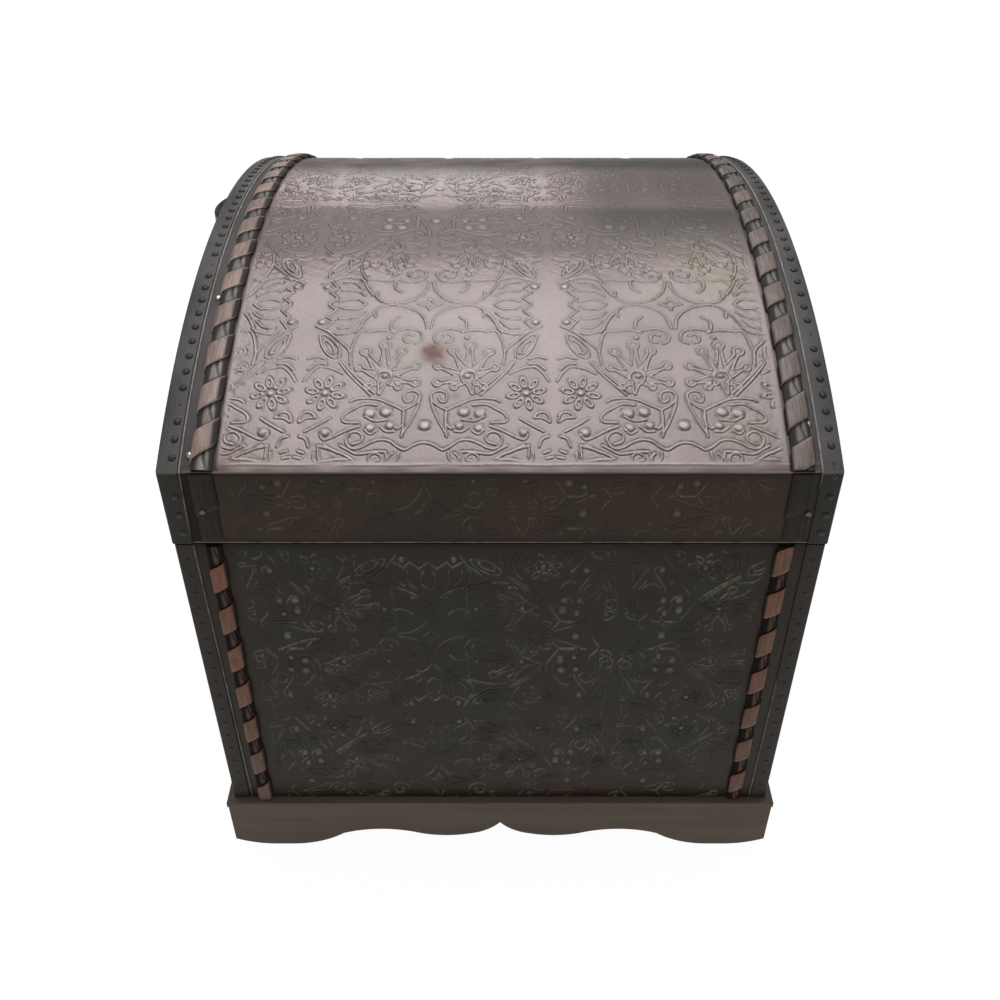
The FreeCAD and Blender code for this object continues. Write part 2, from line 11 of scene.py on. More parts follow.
import bmesh
import bpy
import numpy as np
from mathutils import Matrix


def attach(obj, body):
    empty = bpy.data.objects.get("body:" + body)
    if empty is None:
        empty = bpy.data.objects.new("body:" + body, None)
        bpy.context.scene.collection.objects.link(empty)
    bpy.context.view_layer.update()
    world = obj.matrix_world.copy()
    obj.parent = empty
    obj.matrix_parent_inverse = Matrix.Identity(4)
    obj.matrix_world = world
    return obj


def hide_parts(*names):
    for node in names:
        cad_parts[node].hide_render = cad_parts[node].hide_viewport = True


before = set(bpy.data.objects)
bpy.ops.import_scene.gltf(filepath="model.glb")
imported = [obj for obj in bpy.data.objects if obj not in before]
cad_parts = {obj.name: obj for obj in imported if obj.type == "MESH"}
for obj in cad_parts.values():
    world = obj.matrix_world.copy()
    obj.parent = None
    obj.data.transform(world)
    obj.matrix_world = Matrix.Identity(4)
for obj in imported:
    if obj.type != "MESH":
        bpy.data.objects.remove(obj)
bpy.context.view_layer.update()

MM = 0.001

# %% [markdown]
# ## The sizes that the skins share
# The lid is a box skirt under one long arc. Its radius follows from the depth of the lid and the
# rise of the arc: (half depth squared + rise squared) / (2 rise). All shapes below are worked out
# in millimetres and written to the meshes in metres.

# %% Sizes in millimetres
LID_X, LID_Y = 230.0, 265.0
BODY_X, BODY_Y = 229.0, 264.0
LID_LOW, CREASE, RISE = 356.0, 420.0, 70.0
LEDGE, RIM = 61.0, 354.0
STRIP, COVER = 1.2, 1.0
RADIUS = (LID_Y ** 2 + RISE ** 2) / (2 * RISE)
CENTRE_Z = CREASE + RISE - RADIUS
HALF_ANGLE = math.asin(LID_Y / RADIUS)
DOME_RUN = 2 * HALF_ANGLE * RADIUS
print("dome radius %.1f mm, run from crease to crease %.1f mm" % (RADIUS, DOME_RUN))

# %% [markdown]
# ## Helpers for surfaces
# Every new piece is a sheet of points on a grid of two parameters. The grid may close on itself
# one way, as a tube does. Such sheets could be pulled into shape by hand as well, but a worked-out
# grid can be measured, repeated on the other side and mended by changing one number. The helpers
# make the faces of a grid, turn it into a mesh with its finish and the body that it rides on, and
# give every point the numbers that a finish reads.

# %% From a grid of points to a piece
def grid_faces(rows, columns, wrap_rows=False, wrap_columns=False, offset=0):
    """Four-sided faces between neighbours of a rows x columns grid of points."""
    i = np.arange(rows if wrap_rows else rows - 1)[:, None]
    j = np.arange(columns if wrap_columns else columns - 1)[None, :]
    i2, j2 = (i + 1) % rows, (j + 1) % columns
    quads = np.stack([i * columns + j, i2 * columns + j, i2 * columns + j2, i * columns + j2], -1)
    return quads.reshape(-1, 4) + offset


def make_piece(name, points, faces, body, finish, replaces=(), smooth=True, angle=None):
    """Points in millimetres and four-sided faces become a mesh that rides on a body."""
    mesh = bpy.data.meshes.new(name)
    points = np.asarray(points, float).reshape(-1, 3) * MM
    faces = np.asarray(faces, np.int32)
    mesh.vertices.add(len(points))
    mesh.vertices.foreach_set("co", points.ravel())
    mesh.loops.add(faces.size)
    mesh.loops.foreach_set("vertex_index", faces.ravel())
    mesh.polygons.add(len(faces))
    mesh.polygons.foreach_set("loop_start", np.arange(0, faces.size, 4, dtype=np.int32))
    mesh.polygons.foreach_set("use_smooth", np.full(len(faces), smooth))
    mesh.update(calc_edges=True)
    mesh.validate()
    if angle:
        mesh.set_sharp_from_angle(angle=math.radians(angle))
    piece = bpy.data.objects.new(name, mesh)
    bpy.context.scene.collection.objects.link(piece)
    mesh.materials.append(finish)
    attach(piece, body)
    if replaces:
        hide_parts(*replaces)
    return piece


def store(piece, **fields):
    """One number per point of a piece for each named field, for its finish to read."""
    for name, values in fields.items():
        layer = piece.data.attributes.new(name, "FLOAT", "POINT")
        layer.data.foreach_set("value", np.asarray(values, np.float32).ravel())


def sharpen_rim(piece, rows, columns):
    """Marks the line next to the tucked-in ring as sharp, so that the sheet is shaded flat up to it."""
    ends = np.empty(2 * len(piece.data.edges), np.int32)
    piece.data.edges.foreach_get("vertices", ends)
    i, j = np.divmod(ends.reshape(-1, 2), columns)
    on_rim = (((i[:, 0] == i[:, 1]) & np.isin(i[:, 0], (1, rows - 2)))
              | ((j[:, 0] == j[:, 1]) & np.isin(j[:, 0], (1, columns - 2))))
    layer = piece.data.attributes.new("sharp_edge", "BOOLEAN", "EDGE")
    layer.data.foreach_set("value", on_rim)


print("the one face of a 2 x 2 grid:", grid_faces(2, 2).tolist())

# %% [markdown]
# ## Camera, floor and light
# The trunk is seen from the front, from above and fairly close, so the sides converge downward.
# The floor is white to the camera and the room round it a plain grey. One wide soft lamp hangs
# overhead and a little behind: it rakes the embossing of the dome and leaves the front in half
# shade. A small panel upright behind the trunk, like a window, gives the pale sheen along the back
# of the crown, and the far edge of the floor ends that sheen. A weak lamp in front fills the shade.

# %% Camera and stage
EYE, LOOK_DOWN = (0.0, -0.8258, 0.8675), 36.06
ROOM_STRENGTH = 0.27
FLOOR_REACH, FLOOR_BACK = 40.0, 2.62
FLOOR_GLOW, GLOW_SHARE = 1.05, 0.92
LENS, SENSOR, SHIFT_UP = 38.75, 36.0, -0.075

camera_data = bpy.data.cameras.new("camera")
camera_data.lens = LENS
camera_data.sensor_width = SENSOR
camera_data.shift_y = SHIFT_UP
camera = bpy.data.objects.new("camera", camera_data)
camera.location = EYE
camera.rotation_euler = (math.radians(90 - LOOK_DOWN), 0.0, 0.0)
bpy.context.scene.collection.objects.link(camera)
bpy.context.scene.camera = camera
bpy.context.scene.view_settings.view_transform = "Standard"

world = bpy.data.worlds.new("pale_room")
bpy.context.scene.world = world
world.use_nodes = True
backdrop = world.node_tree.nodes["Background"]
backdrop.inputs["Color"].default_value = (1.0, 0.985, 0.965, 1)
backdrop.inputs["Strength"].default_value = ROOM_STRENGTH


def floor_finish():
    """Pale paint that turns a little whiter for the camera and keeps the shadow."""
    finish = bpy.data.materials.new("pale_floor")
    finish.use_nodes = True
    tree = finish.node_tree
    paint = tree.nodes["Principled BSDF"]
    paint.inputs["Base Color"].default_value = (0.80, 0.80, 0.80, 1)
    paint.inputs["Roughness"].default_value = 0.8
    paint.inputs["Specular IOR Level"].default_value = 0.1
    glow = tree.nodes.new("ShaderNodeEmission")
    glow.inputs["Strength"].default_value = FLOOR_GLOW
    light_path = tree.nodes.new("ShaderNodeLightPath")
    total = light_path.outputs["Is Camera Ray"]
    for ray in ("Is Glossy Ray", "Is Transmission Ray"):
        either = tree.nodes.new("ShaderNodeMath")
        either.operation = "ADD"
        tree.links.new(total, either.inputs[0])
        tree.links.new(light_path.outputs[ray], either.inputs[1])
        total = either.outputs[0]
    share = tree.nodes.new("ShaderNodeMath")
    share.operation = "MULTIPLY"
    share.use_clamp = True
    share.inputs[1].default_value = GLOW_SHARE
    blend = tree.nodes.new("ShaderNodeMixShader")
    tree.links.new(total, share.inputs[0])
    tree.links.new(share.outputs[0], blend.inputs[0])
    tree.links.new(paint.outputs[0], blend.inputs[1])
    tree.links.new(glow.outputs[0], blend.inputs[2])
    tree.links.new(blend.outputs[0], tree.nodes["Material Output"].inputs["Surface"])
    return finish


floor_mesh = bpy.data.meshes.new("floor")
floor_corners = [(-FLOOR_REACH, -FLOOR_REACH, 0), (FLOOR_REACH, -FLOOR_REACH, 0),
                 (FLOOR_REACH, FLOOR_BACK, 0), (-FLOOR_REACH, FLOOR_BACK, 0)]
floor_mesh.from_pydata(floor_corners, [], [(0, 1, 2, 3)])
floor_mesh.materials.append(floor_finish())
floor = bpy.data.objects.new("floor", floor_mesh)
bpy.context.scene.collection.objects.link(floor)


def soft_lamp(name, place, aim, size, power):
    """Rectangular lamp at a place, turned so that its -Z looks at the aim."""
    lamp = bpy.data.lights.new(name, "AREA")
    lamp.shape = "RECTANGLE"
    lamp.size, lamp.size_y = size
    lamp.energy = power
    holder = bpy.data.objects.new(name, lamp)
    holder.location = place
    way = np.subtract(aim, place)
    flat = math.hypot(way[0], way[1])
    turn = math.atan2(way[1], way[0]) - math.pi / 2
    holder.rotation_euler = (math.atan2(flat, -way[2]), 0, turn)
    bpy.context.scene.collection.objects.link(holder)


# name, place and aim in metres, width and length, power in watts
LAMPS = (("overhead", (0.0, 0.52, 2.50), (0, 0.52, 0.4), (2.6, 1.85), 56),
         ("window", (-0.235, 2.6, 1.22), (-0.235, 0, 1.22), (0.87, 0.78), 5.1),
         ("front_fill", (0.4, -2.6, 1.5), (0, 0, 0.3), (1.6, 1.2), 7))
for lamp in LAMPS:
    soft_lamp(*lamp)
print("camera and", len(LAMPS), "lamps")

# %% [markdown]
# ## A short way to write finishes
# A finish is a small graph of nodes. It could be laid out by hand in the shader editor, but a
# written one can be compared with its neighbours and used for several tones. `node` adds one node,
# sets its numbers and joins whatever socket it is handed, so that each recipe below reads from left
# to right.

# %% Node helpers
def node(tree, kind, inputs=None, **settings):
    """Adds a node, sets its properties and gives each input a number or joins it to a socket."""
    made = tree.nodes.new("ShaderNode" + kind)
    for key, value in settings.items():
        setattr(made, key, value)
    for key, value in (inputs or {}).items():
        socket = made.inputs[key]
        if isinstance(value, bpy.types.NodeSocket):
            tree.links.new(value, socket)
        else:
            socket.default_value = value
    return made


def new_finish(name, **sockets):
    """A material and its Principled shader with fixed values on its own sockets."""
    finish = bpy.data.materials.new(name)
    finish.use_nodes = True
    tree = finish.node_tree
    shader = tree.nodes["Principled BSDF"]
    for key, value in sockets.items():
        shader.inputs[key.replace("_", " ")].default_value = value
    return finish, tree, shader


def noise(tree, place, scale, detail, rough):
    """Cloudy value about 0.5: scale is cells per metre, detail the number of finer layers."""
    return node(tree, "TexNoise", {"Vector": place, "Scale": scale, "Detail": detail,
                                   "Roughness": rough}).outputs["Fac"]


def ramp(tree, value, *stops):
    """Colour ramp from (position, colour) stops."""
    made = node(tree, "ValToRGB", {"Fac": value})
    band = made.color_ramp
    while len(band.elements) < len(stops):
        band.elements.new(0.5)
    for element, (position, colour) in zip(band.elements, stops):
        element.position = position
        element.color = (*colour, 1)
    return made.outputs["Color"]


def mixed(tree, share, first, second):
    """The first colour where the share is 0, the second one where it is 1."""
    made = node(tree, "Mix", {"Factor": share}, data_type="RGBA")
    for index, colour in ((6, first), (7, second)):
        if isinstance(colour, bpy.types.NodeSocket):
            tree.links.new(colour, made.inputs[index])
        else:
            made.inputs[index].default_value = (*colour, 1)
    return made.outputs[2]


def maths(tree, operation, first, second):
    """Sum, product or other operation of two values."""
    made = node(tree, "Math", operation=operation)
    for index, value in enumerate((first, second)):
        if isinstance(value, bpy.types.NodeSocket):
            tree.links.new(value, made.inputs[index])
        else:
            made.inputs[index].default_value = value
    return made.outputs[0]


def between(tree, value, low, high, out_low=0.0, out_high=1.0):
    """Linear map of a value, held at both ends."""
    return node(tree, "MapRange", {"Value": value, "From Min": low, "From Max": high,
                                   "To Min": out_low, "To Max": out_high}).outputs[0]


def place_of(tree):
    """Place on the trunk in metres, the same for every piece because all sit at the origin."""
    return node(tree, "TexCoord").outputs["Object"]


def bump(tree, height, depth, strength, after=None):
    """Fine relief of a depth in metres, on top of another bump if one is given."""
    inputs = {"Height": height, "Distance": depth, "Strength": strength}
    if after is not None:
        inputs["Normal"] = after
    return node(tree, "Bump", inputs).outputs["Normal"]


def field(tree, name):
    """A number that a piece carries per point, as `store` wrote it; 0 where it has none."""
    return node(tree, "Attribute", attribute_name=name).outputs["Fac"]


def toned(colour, share):
    """The same colour, darker for a share under 1 and lighter over it."""
    return [part * share for part in colour]


print("a brown at half its tone:", toned((0.20, 0.12, 0.08), 0.5))


# %% [markdown]
# ## Embossed leathercloth
# The cloth is a dark sheet with a thin worn skin. Wear shows first on what stands proud. A painted
# picture could show that, but it would have to be fitted to the pattern, so the colour reads the
# height of the embossing from an attribute called `relief` instead: the welts get a paler, drier
# tone, partly wear and partly a painted highlight along each welt, and the narrow valleys beside
# them hold dirt. The welts come and go with a slow noise, because the sheet was not rubbed evenly.
# More attributes carry what sits in one place only: `wear` where the skin is rubbed and
# where a painted highlight and sheen lie, `tone` for painted shade and some grime, `busy` where the
# welts stand close and look darker for it, `rust` and `olive` for stains. The dome is a pale mauve
# grey and the upright faces a brown black: partly the dome's fading, partly painted light, with the
# dome painted paler as if lit from above and the upright faces darker as if in shade.

# %% The cloth's finish
OLIVE_STAIN, RUST_STAIN = (0.20, 0.165, 0.090), (0.105, 0.033, 0.015)


def cloth_finish(name, ground, proud, valley, patches, rough, specular, crest, line_share):
    """Ground with two patchy tones; `crest` gives the heights in mm between which a welt turns pale,
    partly as wear and partly as a painted highlight, and `line_share` how pale it gets."""
    finish, tree, shader = new_finish(name, Specular_IOR_Level=specular)
    place = place_of(tree)
    relief, wear, tone, busy, rust, olive = (
        field(tree, word) for word in ("relief", "wear", "tone", "busy", "rust", "olive"))
    broad = noise(tree, place, 11.0, 5.0, 0.6)
    patch = noise(tree, place, 24.0, 6.0, 0.65)
    fine = noise(tree, place, 900.0, 2.0, 0.6)
    speck = noise(tree, place, 260.0, 3.0, 0.7)
    base = mixed(tree, between(tree, broad, 0.42, 0.62), ground, patches[0])
    base = mixed(tree, between(tree, patch, 0.50, 0.68, 0.0, 0.75), base, patches[1])
    base = mixed(tree, busy, base, toned(patches[0], 0.5))
    # welts paler by their height: partly wear, partly a painted highlight along each welt
    lines = maths(tree, "MULTIPLY", between(tree, relief, *crest, 0.0, line_share),
                  between(tree, patch, 0.36, 0.60, 0.25, 1.0))
    base = mixed(tree, lines, base, proud)
    base = mixed(tree, between(tree, relief, -0.03, -0.24, 0.0, 0.85), base, valley)
    # wear: rubbed skin, and on the dome and the walls also a painted highlight and sheen
    sheen_and_wear = maths(tree, "MULTIPLY", wear, between(tree, speck, 0.30, 0.60, 0.3, 1.0))
    base = mixed(tree, sheen_and_wear, base, proud)
    base = mixed(tree, olive, base, OLIVE_STAIN)
    base = mixed(tree, rust, base, RUST_STAIN)
    # tone: painted shade, with some grime, towards a dark tone
    base = mixed(tree, tone, base, toned(valley, 0.28))
    tree.links.new(base, shader.inputs["Base Color"])
    sheen = between(tree, patch, 0.3, 0.7, rough - 0.05, rough + 0.08)
    dull = maths(tree, "ADD", maths(tree, "MULTIPLY", tone, 0.45), maths(tree, "MULTIPLY", rust, 0.35))
    tree.links.new(maths(tree, "ADD", sheen, dull), shader.inputs["Roughness"])
    normal = bump(tree, fine, 0.0001, 0.30)
    tree.links.new(bump(tree, speck, 0.0003, 0.34, normal), shader.inputs["Normal"])
    return finish


# The dome's ground is a pale mauve grey and the walls' and skirt's a brown black: partly fading, partly
# painted light, the dome painted paler as if lit from above and the upright faces darker as if in
# shade.
dome_cloth = cloth_finish(
    "dome_cloth", ground=(0.193, 0.124, 0.117), proud=(0.56, 0.480, 0.465),
    valley=(0.030, 0.020, 0.017), patches=((0.162, 0.107, 0.101), (0.170, 0.126, 0.103)),
    rough=0.25, specular=0.85, crest=(0.10, 0.50), line_share=0.62)
UPRIGHT_SHEEN = dict(rough=0.42, specular=0.15, crest=(0.34, 0.60), line_share=0.25)
wall_cloth = cloth_finish(
    "wall_cloth", ground=(0.0225, 0.0175, 0.0095), proud=(0.250, 0.240, 0.190),
    valley=(0.009, 0.0075, 0.005), patches=((0.030, 0.0175, 0.012), (0.025, 0.029, 0.016)),
    **UPRIGHT_SHEEN)
skirt_cloth = cloth_finish(
    "skirt_cloth", ground=(0.045, 0.024, 0.016), proud=(0.180, 0.155, 0.110),
    valley=(0.013, 0.009, 0.006), patches=((0.030, 0.022, 0.013), (0.037, 0.034, 0.018)),
    **UPRIGHT_SHEEN)
print("cloth finishes:", dome_cloth.name, wall_cloth.name, skirt_cloth.name)

# %% [markdown]
# ## The embossing
# The press plate repeats a garden of flowers: sunburst rosettes with keyhole petals, daisies,
# hatched buds, almond leaves, volutes and a wave border, mirrored left to right about a plain
# channel and again across the row of buds. Bump alone would give its shading but no outline at the
# crown and no highlight that runs round a welt, so the pattern is real relief. One quarter is drawn
# as lines in millimetres from the channel (across) and from the crease (up); each line becomes a
# raised welt with a shallow valley on both sides. Two foldings of the coordinates give the rest of
# the sheet.

# %% Lines of one quarter of the plate
PLATE_ACROSS = 88.7
PLATE_LOW, PLATE_HIGH = 3.0, 143.8

WELTS = (
    # keyhole at the heart of the rosette and its stalk
    ((33.5, 70), (34.5, 73.5), (33.5, 79), (30, 81), (26, 80), (24, 76), (25, 71.5)),
    ((33.5, 70), (33, 65.5), (33, 60.5)), ((25, 71.5), (28.5, 68), (31, 63), (32, 60)),
    # twin stem, leaf and tendril
    ((38, 59.5), (48.5, 70.5), (56.5, 80), (61.5, 87.5)),
    ((35.5, 61), (45, 70.5), (53, 79), (59.5, 87.5)),
    ((62.5, 92.5), (63.5, 101), (71, 110.5), (77.5, 113), (76, 103.5), (71.5, 95.5), (66, 91.5),
     (62.5, 92.5)),
    ((65.5, 95.5), (68.5, 103), (74, 108), (74, 102.5), (70, 96.5), (65.5, 95.5)),
    ((59, 102), (64.5, 108), (72, 115.5), (81.5, 121)),
    # bud with its hatching and toothed edge
    ((47.5, 143.5), (53, 139), (61, 139), (67, 141)),
    ((48.5, 135), (53, 130.5), (59.5, 129), (66, 129)),
    ((51.5, 126.5), (56.5, 121), (61, 119.5), (65.5, 119.5)),
    ((49.5, 119), (55.5, 115), (64.5, 113.5), (72.5, 117)),
    ((68, 152.5), (74.5, 143)), ((74.5, 143), (68.5, 137.5)), ((68.5, 137.5), (75, 130.5)),
    ((75, 130.5), (69.5, 126.5)), ((69.5, 126.5), (75, 119)),
    ((43, 134), (47.5, 126.5), (50.5, 119), (53, 115)),
    # crossing bands, hooked curl and its inner spiral
    ((39.5, 130.5), (40, 136), (35.5, 141), (28, 143), (18, 141.5), (9, 136), (3.5, 128.5), (1.5, 119)),
    ((40, 136), (45, 130), (48.5, 123.5)),
    ((22, 130.5), (26.5, 126.5), (27.5, 120.5), (25.5, 116.5), (21.5, 117.5), (15, 118.5), (8, 117),
     (4.5, 112.5), (5, 107), (9, 104.5)),
    ((11, 112), (14.5, 113.5), (17.5, 110.5), (16.5, 106.5), (13, 105.5)),
    # hood over the rosette
    ((24, 115), (30.5, 117), (37.5, 117), (43, 116), (48.5, 116.5), (52, 110.5), (54, 102.5), (55, 95),
     (54, 85.5)),
    ((55, 95), (56.5, 99), (58.5, 102)),
    # bracket under the rosette and the volute at its end
    ((15, 47.5), (23.5, 52), (32.5, 56), (41.5, 57), (48.5, 56), (52, 54)),
    ((32.5, 51.5), (42, 52), (48.5, 48.5), (54, 45), (56.5, 41), (54.5, 38), (45.5, 37.5)),
    ((15, 47.5), (9, 51), (5, 55), (4, 60), (8, 63), (13, 62), (15, 58), (13.5, 54), (10, 55), (9, 58)),
    ((3.5, 58), (5, 50.5), (9.5, 39), (14, 30.5), (15.5, 26.5)),
    ((14.5, 47), (14, 41), (14.5, 34.5), (15.5, 26.5)),
    # outlines round the pips
    ((15, 46), (15, 37), (18, 33), (20, 34)), ((25.5, 40), (34, 39), (41, 42.5)),
    ((20.5, 31), (26, 31), (30.5, 34.5)), ((32.5, 31.5), (37, 29), (41, 32.5)),
    # frame of the daisy, crescent and tails
    ((58.5, 77.5), (66, 81.5), (75, 83.5), (81, 79), (86, 71)), ((71.5, 86.5), (78, 86), (83.5, 81)),
    ((72, 90.5), (78.5, 92.5), (84.5, 90.5)),
    ((74.5, 41.5), (78.5, 45.5), (84, 44.5), (86, 38), (81, 41), (74.5, 41.5)),
    ((65, 41), (71.5, 36.5), (81.5, 30.5)), ((44.5, 35), (52, 32), (62, 26.5)),
    ((63, 26), (68, 24.5), (71, 28.5)),
    # wave, coil and fan of the border
    ((-2, 22.5), (3, 22), (7.5, 20), (12.5, 17), (17.5, 19), (23.5, 23.5), (30, 24.5), (37, 22),
     (43, 18.5), (48.5, 18), (52, 21), (53, 26), (49.5, 30), (45.5, 30.5), (42, 27.5), (43, 23),
     (48.5, 21)),
    ((26, 15.5), (32, 15.5), (38.5, 14.5), (45.5, 14), (52, 17.5), (56.5, 20)),
    ((26, 15.5), (25, 11), (27.5, 6.5), (32, 5.5), (36.5, 8), (36.5, 12.5), (32.5, 14.5), (29, 12.5),
     (29, 9.5), (32, 9)),
    ((16.5, 15.5), (17.5, 10), (22, 6.5)), ((21, 14.5), (23.5, 11.5), (23, 6.5)),
    ((48, 10), (57, 15), (71.5, 20)), ((71.5, 20), (69.5, 8.5), (59, 10), (48, 10)),
    ((57.5, 14.5), (68, 20.5)),
    ((36, 6), (48.5, 8.5), (62, 9), (73, 8.5), (74, 14.5)), ((78, 19), (80.5, 25), (85, 27)),
    ((81, 14.5), (85, 16)), ((82.5, 10.5), (87.5, 11.5)),
    # four-pointed star on the channel
    ((0, 150), (2.2, 146), (8.5, 143.8)), ((0, 137.6), (2.2, 141.6), (8.5, 143.8)),
)
# the rosette's petals as (across, up, size) of each bulb, and its heart
PETALS = ((7.7, 70, 1.0), (8.1, 84.4, 1.0), (18.2, 97.8, 1.0), (30.5, 103, 1.15), (44.1, 97.2, 1.15),
          (47.7, 83.1, 1.0), (40.5, 66.6, 0.8), (19.5, 66.3, 0.75))
ROSETTE = (29.8, 74.5)
# round pips as (across, up, size)
PIPS = ((28.9, 75.6, 2.0), (77.5, 125.1, 2.4), (27.9, 110, 1.6), (26.8, 46, 3.4), (38, 45, 3.7),
        (23.6, 35.3, 2.5), (37.2, 33.6, 2.9), (67.8, 30, 2.8), (0, 35.3, 3.4), (69.8, 61.1, 2.2))
DAISY, DAISY_PETALS, DAISY_REACH, DAISY_TURN = (69.8, 61.1), 8, 9.0, 0.2
print("quarter plate:", len(WELTS), "lines,", len(PETALS) + DAISY_PETALS, "petals,", len(PIPS), "pips")

# %% Distance to a line, a rosette, a pip and a petal
def smooth_line(points, stops=7):
    """Catmull-Rom curve through the points: a cubic between each pair, led by its neighbours."""
    p = np.asarray(points, float)
    if len(p) < 3:
        return p
    ends = np.vstack([2 * p[0] - p[1], p, 2 * p[-1] - p[-2]])
    t = np.linspace(0, 1, stops, endpoint=False)[None, :, None]
    a, b, c, d = (ends[k:len(ends) - 3 + k][:, None, :] for k in range(4))
    curve = 0.5 * (2 * b + (c - a) * t + (2 * a - 5 * b + 4 * c - d) * t ** 2
                   + (3 * b - a - 3 * c + d) * t ** 3)
    return np.vstack([curve.reshape(-1, 2), p[-1:]])


def run_to(line, u, v):
    """Least distance from each lattice point to a polyline: clamp the foot on every run."""
    p = np.stack([u, v], -1)[..., None, :]
    start, way = line[:-1], line[1:] - line[:-1]
    length = np.maximum((way ** 2).sum(-1), 1e-9)
    foot = np.clip(((p - start) * way).sum(-1) / length, 0, 1)
    gap = p - start - foot[..., None] * way
    return np.sqrt((gap ** 2).sum(-1)).min(-1)


def sunburst(a, b):
    """Signed distance to the rosette: each petal is a neck that narrows outward and a round bulb,
    and the least distance over all petals joins them into one star."""
    nearest = np.full(np.shape(a), 99.0)
    for x, y, size in PETALS:
        reach = math.hypot(x - ROSETTE[0], y - ROSETTE[1])
        way = ((x - ROSETTE[0]) / reach, (y - ROSETTE[1]) / reach)
        along = (a - ROSETTE[0]) * way[0] + (b - ROSETTE[1]) * way[1]
        beside = np.abs((b - ROSETTE[1]) * way[0] - (a - ROSETTE[0]) * way[1])
        neck = np.maximum(beside - size * np.interp(along, (8, 0.75 * reach), (2.9, 1.3)),
                          np.maximum(5 - along, along - reach))
        bulb = np.hypot(a - x, b - y) - 3.0 * size
        nearest = np.minimum(nearest, np.minimum(neck, bulb))
    return nearest


def pip_distance(a, b, x, y, size):
    """Distance to a round pip, pressed a little flatter up than across."""
    return np.maximum(np.hypot(a - x, (b - y) * 1.25) - size * 0.55, 0)


def petal_distance(a, b, middle, turn):
    """Distance to the oval outline of a daisy's petal that lies at an angle."""
    along = (a - middle[0]) * math.cos(turn) + (b - middle[1]) * math.sin(turn)
    beside = (b - middle[1]) * math.cos(turn) - (a - middle[0]) * math.sin(turn)
    return np.abs(np.hypot(along / 4.6, beside / 2.3) - 0.85) * 2.6


print("from the rosette's middle to the nearest petal: %.1f mm" % sunburst(*ROSETTE))


# %% [markdown]
# The plate itself is a lattice of heights. A distance d to a line becomes a welt as the bell
# exp(-(d / width) squared), with a second, lower bell beside it for the valley. Where lines meet the
# greater value holds, so they join without a step. Blurring the heights tells where the pattern is
# dense, which the finish uses too.

# %% The pressed lattice
PLATE_STEP, PLATE_MARGIN, STAMP_REACH = 0.25, 6, 5
WELT, VALLEY_AT, VALLEY_WIDTH = 0.52, 2.0, 0.72
WELT_HEIGHT, VALLEY_DEPTH, PETAL_SWELL = 0.60, 0.40, 0.16
BLUR = np.exp(-np.linspace(-2, 2, 85) ** 2)


def fade(value, edge, width):
    """0 outside the edge, 1 inside by the width, eased both ends."""
    t = np.clip((value - edge) / width, 0, 1)
    return t * t * (3 - 2 * t)


def press_plate():
    """Lattice lines, heights in mm, bells of the pips, and how dense the pattern is."""
    across = np.arange(-PLATE_MARGIN, PLATE_ACROSS + PLATE_MARGIN, PLATE_STEP)
    up = np.arange(PLATE_LOW - PLATE_MARGIN, PLATE_HIGH + PLATE_MARGIN, PLATE_STEP)
    u, v = np.meshgrid(across, up, indexing="ij")
    raised, sunk, pips = np.zeros_like(u), np.zeros_like(u), np.zeros_like(u)

    def stamp(low, high, distance, width, height, valley=1.0):
        """Presses one figure into the part of the lattice round its box."""
        i0, i1 = np.searchsorted(across, (low[0] - STAMP_REACH, high[0] + STAMP_REACH))
        j0, j1 = np.searchsorted(up, (low[1] - STAMP_REACH, high[1] + STAMP_REACH))
        window = (slice(i0, i1), slice(j0, j1))
        d = distance(u[window], v[window])
        dip = valley * np.exp(-((d - VALLEY_AT * width) / (VALLEY_WIDTH * width)) ** 2)
        raised[window] = np.maximum(raised[window], height * np.exp(-(d / width) ** 2))
        sunk[window] = np.maximum(sunk[window], dip)

    for welt in WELTS:
        line = smooth_line(welt)
        stamp(line.min(0), line.max(0), lambda a, b, line=line: run_to(line, a, b), WELT, 1.0)
    stamp((0, 55), (58, 108), lambda a, b: np.abs(sunburst(a, b)), WELT, 1.0)
    for pip in PIPS:
        x, y, size = pip
        stamp((x, y), (x, y), lambda a, b, pip=pip: pip_distance(a, b, *pip), 0.45 * size, 1.05, 0.6)
        pips = np.maximum(pips, np.exp(-(np.hypot(u - x, v - y) / (0.75 * size)) ** 2))
    for turn in np.arange(DAISY_PETALS) * 2 * math.pi / DAISY_PETALS + DAISY_TURN:
        middle = np.array(DAISY) + DAISY_REACH * np.array((math.cos(turn), math.sin(turn)))
        stamp(middle - 5, middle + 5,
              lambda a, b, middle=middle, turn=turn: petal_distance(a, b, middle, turn), WELT, 0.95)
    inside = np.clip(-sunburst(u, v) / 1.6, 0, 1)
    height = (WELT_HEIGHT * raised - VALLEY_DEPTH * sunk * (1 - raised)
              + PETAL_SWELL * inside * (1 - raised))
    busy, weight = np.abs(height), np.ones_like(height)
    for axis in (0, 1):
        busy, weight = (np.apply_along_axis(np.convolve, axis, layer, BLUR, "same")
                        for layer in (busy, weight))
    busy = busy / weight
    print("density: middle %.3f, nine tenths %.3f" % tuple(np.percentile(busy, (50, 90))))
    return across, up, height, pips, fade(busy, 0.03, 0.10)


plate_across, plate_up, plate, pip_plate, busy_plate = press_plate()
print("press plate", plate.shape, "heights %.2f to %.2f mm" % (plate.min(), plate.max()))

